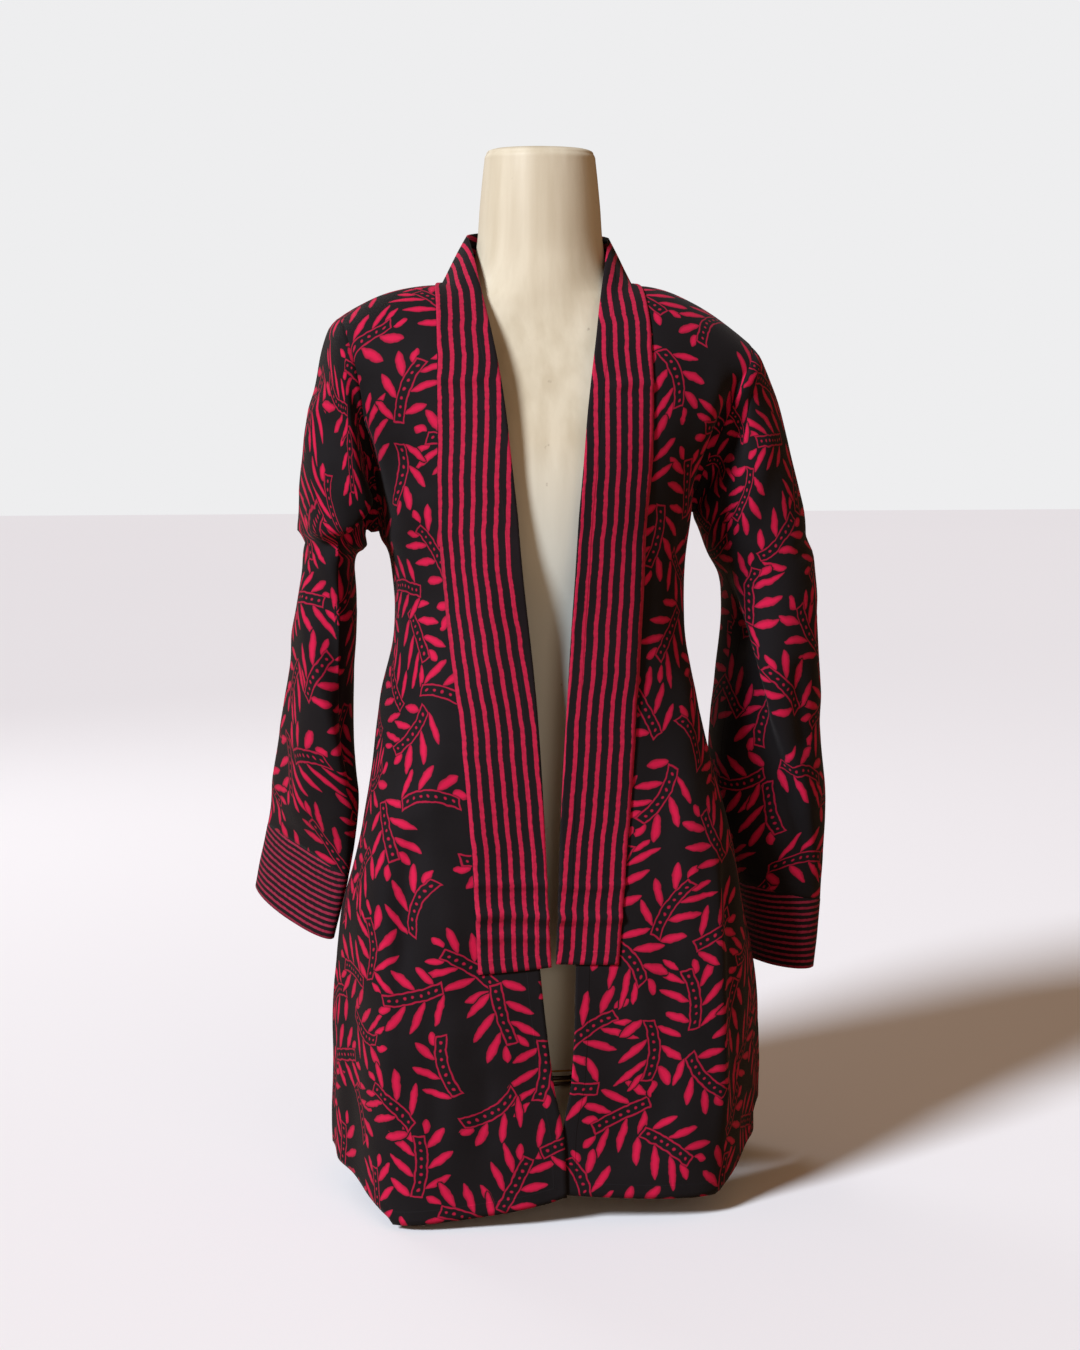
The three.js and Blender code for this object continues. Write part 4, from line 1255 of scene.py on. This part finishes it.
def printed_cotton():
    material, tree = new_material("printed cotton")
    _, shake, weave, wear = cotton_base(tree)
    turned = add(tree, "ShaderNodeVectorRotate", {
        "Vector": shake, "Angle": LATTICE_TURN,
    }, rotation_type="Z_AXIS")
    first, second = (
        add(tree, "ShaderNodeGroup", {0: turned, 1: seed}, node_tree=SPRIG_LAYER).outputs
        for seed in LAYER_SEEDS
    )
    inside = run_steps(tree, (
        ("clear", "SUBTRACT", LAYER_GAP, "covered"),
        ("beside", "MINIMUM", "clear", "second"),
        ("inside", "MAXIMUM", "first", "beside"),
    ), {"first": first[0], "covered": first[1], "second": second[0]})["inside"]
    ink = add(tree, RANGE, {0: inside, 1: INK_EDGE[0], 2: INK_EDGE[1]})
    heart = add(tree, RANGE, {0: inside, 1: HEART_EDGE[0], 2: HEART_EDGE[1]})
    finish_cotton(tree, weave, wear, PRINT_BLACKS, ink, heart, PRINT_REDS)
    return material


PRINTED = printed_cotton()
print("printed cotton has", len(PRINTED.node_tree.nodes), "nodes")

# %% [markdown]
# ## Stripes
# The bands and cuffs are cut from a striped cotton of the same weave. A stripe is a share of a
# pitch that repeats across the strip. Strips cut by hand aren't quite straight, so a slow noise
# lets the lines sway, and a fine one roughens their edges.

# %% Striped cotton: crimson lines on black
STRIPES = {
    # which UV map and part of it runs across the stripes; pitch, width, plain start and sway in
    # millimetres; how fast the sway changes each way; the reds
    "band": {
        "map": "Print", "part": 0, "pitch": 10.3, "width": 3.9, "start": 3.2, "sway": 6.5,
        "ways": (0.15, 1, 0), "reds": ("#8f1432", "#b81e43"),
    },
    "cuff": {
        "map": "Edges", "part": 1, "pitch": 5.7, "width": 2.5, "start": 1.2, "sway": 2.4,
        "ways": (1, 0.3, 0), "reds": ("#701a30", "#942540"),
    },
}
STRIPE_BLACKS = ("#0e090c", "#1a1216")
SWAY_SIZE, UNEVEN_INK = 62.5, 4  # sizes of the stripes' sway and of the ink's unevenness
INK_PLAY, STRIPE_EDGE = 1.1, (0.35, 0.85)


def striped_cotton(name, use, count):
    """Stripes along a band or round a cuff, over count pitches, and plain cloth past them."""
    material, tree = new_material(name)
    stripe = STRIPES[use]
    pitch, half = stripe["pitch"], stripe["width"] / 2
    flat, shake, weave, wear = cotton_base(tree)
    uv = add(tree, "ShaderNodeUVMap", uv_map=stripe["map"])
    parts = add(tree, "ShaderNodeSeparateXYZ", {0: uv}).outputs
    along = add(tree, VECTOR, {0: flat, 1: stripe["ways"]}, operation="MULTIPLY")
    sway, uneven = (
        add(tree, NOISE, {
            "Vector": place, "Scale": 1 / size, "Detail": detail,
        }, noise_dimensions="2D")
        for place, size, detail in ((along, SWAY_SIZE, 2.5), (shake, UNEVEN_INK, 2))
    )
    rough = run_steps(tree, (
        ("measured", "MULTIPLY", "across", 1000),
        ("swayed", "MULTIPLY_ADD", "sway", stripe["sway"], "measured"),
        ("moved", "SUBTRACT", "swayed", stripe["start"]),
        ("pitches", "DIVIDE", "moved", pitch),
        ("share", "FRACT", "pitches"),
        ("share_gap", "SUBTRACT", "share", half / pitch),
        ("gap", "ABSOLUTE", "share_gap"),
        ("gap_mm", "MULTIPLY", "gap", pitch),
        ("inside", "SUBTRACT", half, "gap_mm"),
        ("room", "SUBTRACT", count * pitch - 1, "moved"),
        ("kept", "MINIMUM", "inside", "room"),
        ("rough", "MULTIPLY_ADD", "uneven", INK_PLAY, "kept"),
    ), {"across": parts[stripe["part"]], "sway": sway, "uneven": uneven})["rough"]
    ink = add(tree, RANGE, {0: rough, 1: STRIPE_EDGE[0], 2: STRIPE_EDGE[1]})
    finish_cotton(tree, weave, wear, STRIPE_BLACKS, ink, uneven, stripe["reds"])
    return material


STRIPED = {
    "right": striped_cotton("band cotton right", "band", 7),
    "left": striped_cotton("band cotton left", "band", 6.35),
    "cuff": striped_cotton("cuff cotton", "cuff", 30),
}
print("striped cottons:", list(STRIPED))

# %% Give each piece its cotton
for name, piece in cloth.items():
    if name.startswith("front_band"):
        piece.data.materials.append(STRIPED[name.rsplit("_", 1)[1]])
    elif name.startswith("cuff"):
        piece.data.materials.append(STRIPED["cuff"])
    else:
        piece.data.materials.append(PRINTED)
print("cottons:", [m.name for m in bpy.data.materials])

# %% [markdown]
# ## Lacquer and the joint ring
# The form is moulded and sprayed with a cream satin lacquer. The spray leaves faint upright
# streaks and a slight orange-peel. Lower down the coat is painted bluish white, a painted light
# for the cool light there, and handling leaves small grey scuffs. The joint is two dark satin
# rings with a pale line between them, and a thin golden line above is a painted reflection.
# Object coordinates are in metres, so a pattern of 10 mm has a scale of 100.

# %% Lacquer
STREAK_SCALE = (60, 60, 2.2)  # a streak is about 17 mm wide and half a metre long
CLOUD_SCALE, SCUFF_SCALE, PEEL_SCALE = 7, 70, 260  # sizes of about 140, 14 and 4 mm
STREAK_EDGE, SCUFF_EDGE, GLOSS_EDGE = (0.34, 0.66), (0.72, 0.76), (0.3, 0.7)
SMOOTHEST, ROUGHEST, MOST_SCUFF = 0.55, 0.68, 0.5
PAINTED_LIGHT_FROM, PAINTED_LIGHT_TO, PAINTED_LIGHT_SHARE = 0.70, 0.54, 0.9  # heights between which the lower coat takes on its painted cool light
AGED_SHARE = 0.4
# height and half width of a thin golden line just above the joint ring, a painted reflection
PAINTED_GLINT_AT, PAINTED_GLINT_HALF = 0.1305, 0.0009
CREAMS, AGED_CREAMS = ("#b4aa92", "#ccc5b0"), ("#cfc8b5", "#b5a98c")


def cream_lacquer():
    material, tree = new_material("cream lacquer")
    place = add(tree, "ShaderNodeTexCoord").outputs["Object"]
    height = add(tree, "ShaderNodeSeparateXYZ", {0: place}).outputs[2]
    upright = add(tree, "ShaderNodeMapping", {"Vector": place, "Scale": STREAK_SCALE})
    streaks = add(tree, NOISE, {"Vector": upright, "Scale": 1, "Detail": 6})
    clouds = add(tree, NOISE, {"Vector": place, "Scale": CLOUD_SCALE, "Detail": 4})
    spots = add(tree, NOISE, {"Vector": place, "Scale": SCUFF_SCALE, "Detail": 3})
    peel = add(tree, NOISE, {"Vector": place, "Scale": PEEL_SCALE, "Detail": 1})
    streak = add(tree, RANGE, {0: streaks, 1: STREAK_EDGE[0], 2: STREAK_EDGE[1]})
    scuff = add(tree, RANGE, {0: spots, 1: SCUFF_EDGE[0], 2: SCUFF_EDGE[1], 4: MOST_SCUFF})
    # painted light: below the chest the lacquer is painted a paler bluish white for the cool light
    # there
    painted_cool_light = add(tree, RANGE, {0: height, 1: PAINTED_LIGHT_FROM, 2: PAINTED_LIGHT_TO, 4: PAINTED_LIGHT_SHARE})
    # painted reflection: the thin golden line just above the joint ring
    painted_glint = add(tree, "ShaderNodeMath", {0: height, 1: PAINTED_GLINT_AT, 2: PAINTED_GLINT_HALF}, operation="COMPARE")
    colour = add(tree, MIX, {0: streak, 6: CREAMS[0], 7: CREAMS[1]}, data_type="RGBA")
    aged = add(tree, MIX, {0: clouds, 6: AGED_CREAMS[0], 7: AGED_CREAMS[1]}, data_type="RGBA")
    for share, layer in (
        (AGED_SHARE, aged), (painted_cool_light, "#cbd6d2"), (scuff, "#7f7361"), (painted_glint, "#9a7427"),
    ):
        colour = add(tree, MIX, {0: share, 6: colour, 7: layer}, data_type="RGBA")
    bump = add(tree, BUMP, {"Strength": 0.05, "Distance": 0.001, "Height": peel})
    gloss = add(tree, RANGE, {
        0: clouds, 1: GLOSS_EDGE[0], 2: GLOSS_EDGE[1], 3: SMOOTHEST, 4: ROUGHEST,
    })
    shader = add(tree, "ShaderNodeBsdfPrincipled", {
        "Base Color": colour, "Roughness": gloss, "Normal": bump,
    })
    add(tree, OUTPUT, {0: shader})
    return material


LACQUER = cream_lacquer()
print("cream lacquer has", len(LACQUER.node_tree.nodes), "nodes")

# %% Joint ring
RUB_SCALE = 60
LINE_AT, LINE_HALF = 0.1211, 0.0007


def joint_satin():
    material, tree = new_material("dark joint satin")
    place = add(tree, "ShaderNodeTexCoord").outputs["Object"]
    height = add(tree, "ShaderNodeSeparateXYZ", {0: place}).outputs[2]
    pale = add(tree, "ShaderNodeMath", {0: height, 1: LINE_AT, 2: LINE_HALF}, operation="COMPARE")
    rubbed = add(tree, NOISE, {"Vector": place, "Scale": RUB_SCALE, "Detail": 3})
    dark = add(tree, MIX, {0: rubbed, 6: "#241b16", 7: "#3a2f28"}, data_type="RGBA")
    colour = add(tree, MIX, {0: pale, 6: dark, 7: "#cdb98c"}, data_type="RGBA")
    bump = add(tree, BUMP, {"Strength": 0.08, "Distance": 0.0005, "Height": rubbed})
    shader = add(tree, "ShaderNodeBsdfPrincipled", {
        "Base Color": colour, "Roughness": 0.4, "Normal": bump,
    })
    add(tree, OUTPUT, {0: shader})
    return material


form["form_torso"].data.materials.append(LACQUER)
form["form_foot"].data.materials.append(LACQUER)
form["form_joint_ring"].data.materials.append(joint_satin())
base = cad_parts["form_base"]
base.data.materials.clear()
base.data.materials.append(LACQUER)
print("form materials set")

# %% [markdown]
# ## Which piece stands for which part
# Each cloth piece replaces its rigid stand-in, which is hidden, and hangs from the root. The
# size it was cut to before it was sewn and hung is printed beside the area it hangs as.

CUTS = {
    "back_panel": ("back", "printed_cotton", (0.56, 0.90), ["form_torso"]),
    "front_panel_right": ("front_right", "printed_cotton", (0.25, 0.88), ["form_torso"]),
    "front_panel_left": ("front_left", "printed_cotton", (0.27, 0.88), ["form_torso"]),
    "front_band_right": ("band_right", "striped_cotton", (0.08, 0.76), ["front_panel_right"]),
    "front_band_left": ("band_left", "striped_cotton", (0.07, 0.76), ["front_panel_left"]),
    "sleeve_tube_right": ("sleeve_right", "printed_cotton", (0.40, 0.46), ["front_panel_right"]),
    "sleeve_tube_left": ("sleeve_left", "printed_cotton", (0.42, 0.50), ["front_panel_left"]),
    "cuff_band_right": ("cuff_right", "striped_cotton", (0.27, 0.06), ["sleeve_tube_right"]),
    "cuff_band_left": ("cuff_left", "striped_cotton", (0.30, 0.07), ["sleeve_tube_left"]),
}
for name, (node, slot, flat_size, rests) in CUTS.items():
    piece = cloth[name]
    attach(piece, "root")
    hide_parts(node)
    area = sum(p.area for p in piece.data.polygons)
    print(name, "hangs as", round(area, 3), "of", round(flat_size[0] * flat_size[1], 3))
for name, node, slot in (
    ("form_torso", "dress_form", "form_lacquer"),
    ("form_joint_ring", "form_ring", "form_joint"),
    ("form_foot", "form_lower", "form_lacquer"),
):
    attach(form[name], "root")
    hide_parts(node)

# %% [markdown]
# ## Floor and surround
# A plain pale floor and surround set the piece off. Both look brighter to the camera than they
# are to the cloth: a Light Path node tells the camera's rays from all others, so the light that
# they throw back stays dim and warm, as in a room with a wooden floor.

# %% Stage
FLOOR_HALF = 14
GRAIN_SCALE = 3
SURROUND_LIGHT = 0.2
bm = bmesh.new()
bmesh.ops.create_grid(bm, x_segments=1, y_segments=1, size=FLOOR_HALF)
floor_mesh = bpy.data.meshes.new("floor")
bm.to_mesh(floor_mesh)
bm.free()
floor = bpy.data.objects.new("floor", floor_mesh)
bpy.context.collection.objects.link(floor)
paper, tree = new_material("pale paper")
to_camera = add(tree, "ShaderNodeLightPath").outputs["Is Camera Ray"]
grain = add(tree, NOISE, {"Scale": GRAIN_SCALE, "Detail": 4})
shade = add(tree, MIX, {0: grain, 6: "#ebecef", 7: "#f0f1f3"}, data_type="RGBA")
thrown = add(tree, MIX, {0: to_camera, 6: "#9c7c5c", 7: shade}, data_type="RGBA")
matt = add(tree, "ShaderNodeBsdfPrincipled", {"Base Color": thrown, "Roughness": 0.9})
add(tree, OUTPUT, {0: matt})
floor_mesh.materials.append(paper)
world = bpy.data.worlds.new("surround")
world.use_nodes = True
tree = world.node_tree
tree.nodes.clear()
to_camera = add(tree, "ShaderNodeLightPath").outputs["Is Camera Ray"]
pale = add(tree, "ShaderNodeBackground", {"Color": "#eeeeef", "Strength": 1})
dim = add(tree, "ShaderNodeBackground", {"Color": "#ffc288", "Strength": SURROUND_LIGHT})
seen = add(tree, "ShaderNodeMixShader", {0: to_camera, 1: dim, 2: pale})
add(tree, "ShaderNodeOutputWorld", {0: seen})
bpy.context.scene.world = world
print("the floor is", 2 * FLOOR_HALF, "m wide")

# %% [markdown]
# ## Light
# A broad cool key light from the wearer's right and above models the folds and leaves warm
# shade on the other side. A weak warm fill opens that shade a little, and a light from behind
# parts the dark sleeves from each other.

# %% Lights
AIM = Vector((0, 0, 0.55))
LIGHTS = (
    # name, kind, place, width (or angle of a sun), strength, colour
    ("key", "SUN", (-2.3, -1.94, 2.5), 0.24, 5.0, "#f1f6ff"),
    ("fill", "AREA", (0.6, -2.8, 0.9), 1.4, 10, "#ffe9d4"),
    ("back", "AREA", (-1.2, 2.4, 2.0), 1.6, 14, "#ffffff"),
)
for name, kind, place, width, strength, colour in LIGHTS:
    lamp = bpy.data.lights.new(name, kind)
    lamp.energy, lamp.color = strength, linear(colour)[:3]
    if kind == "SUN":
        lamp.angle = width
    else:
        lamp.shape, lamp.size = "DISK", width
    holder = bpy.data.objects.new(name, lamp)
    holder.location = place
    holder.rotation_euler = (AIM - holder.location).to_track_quat("-Z", "Y").to_euler()
    bpy.context.collection.objects.link(holder)
print("lights:", [row[0] for row in LIGHTS])
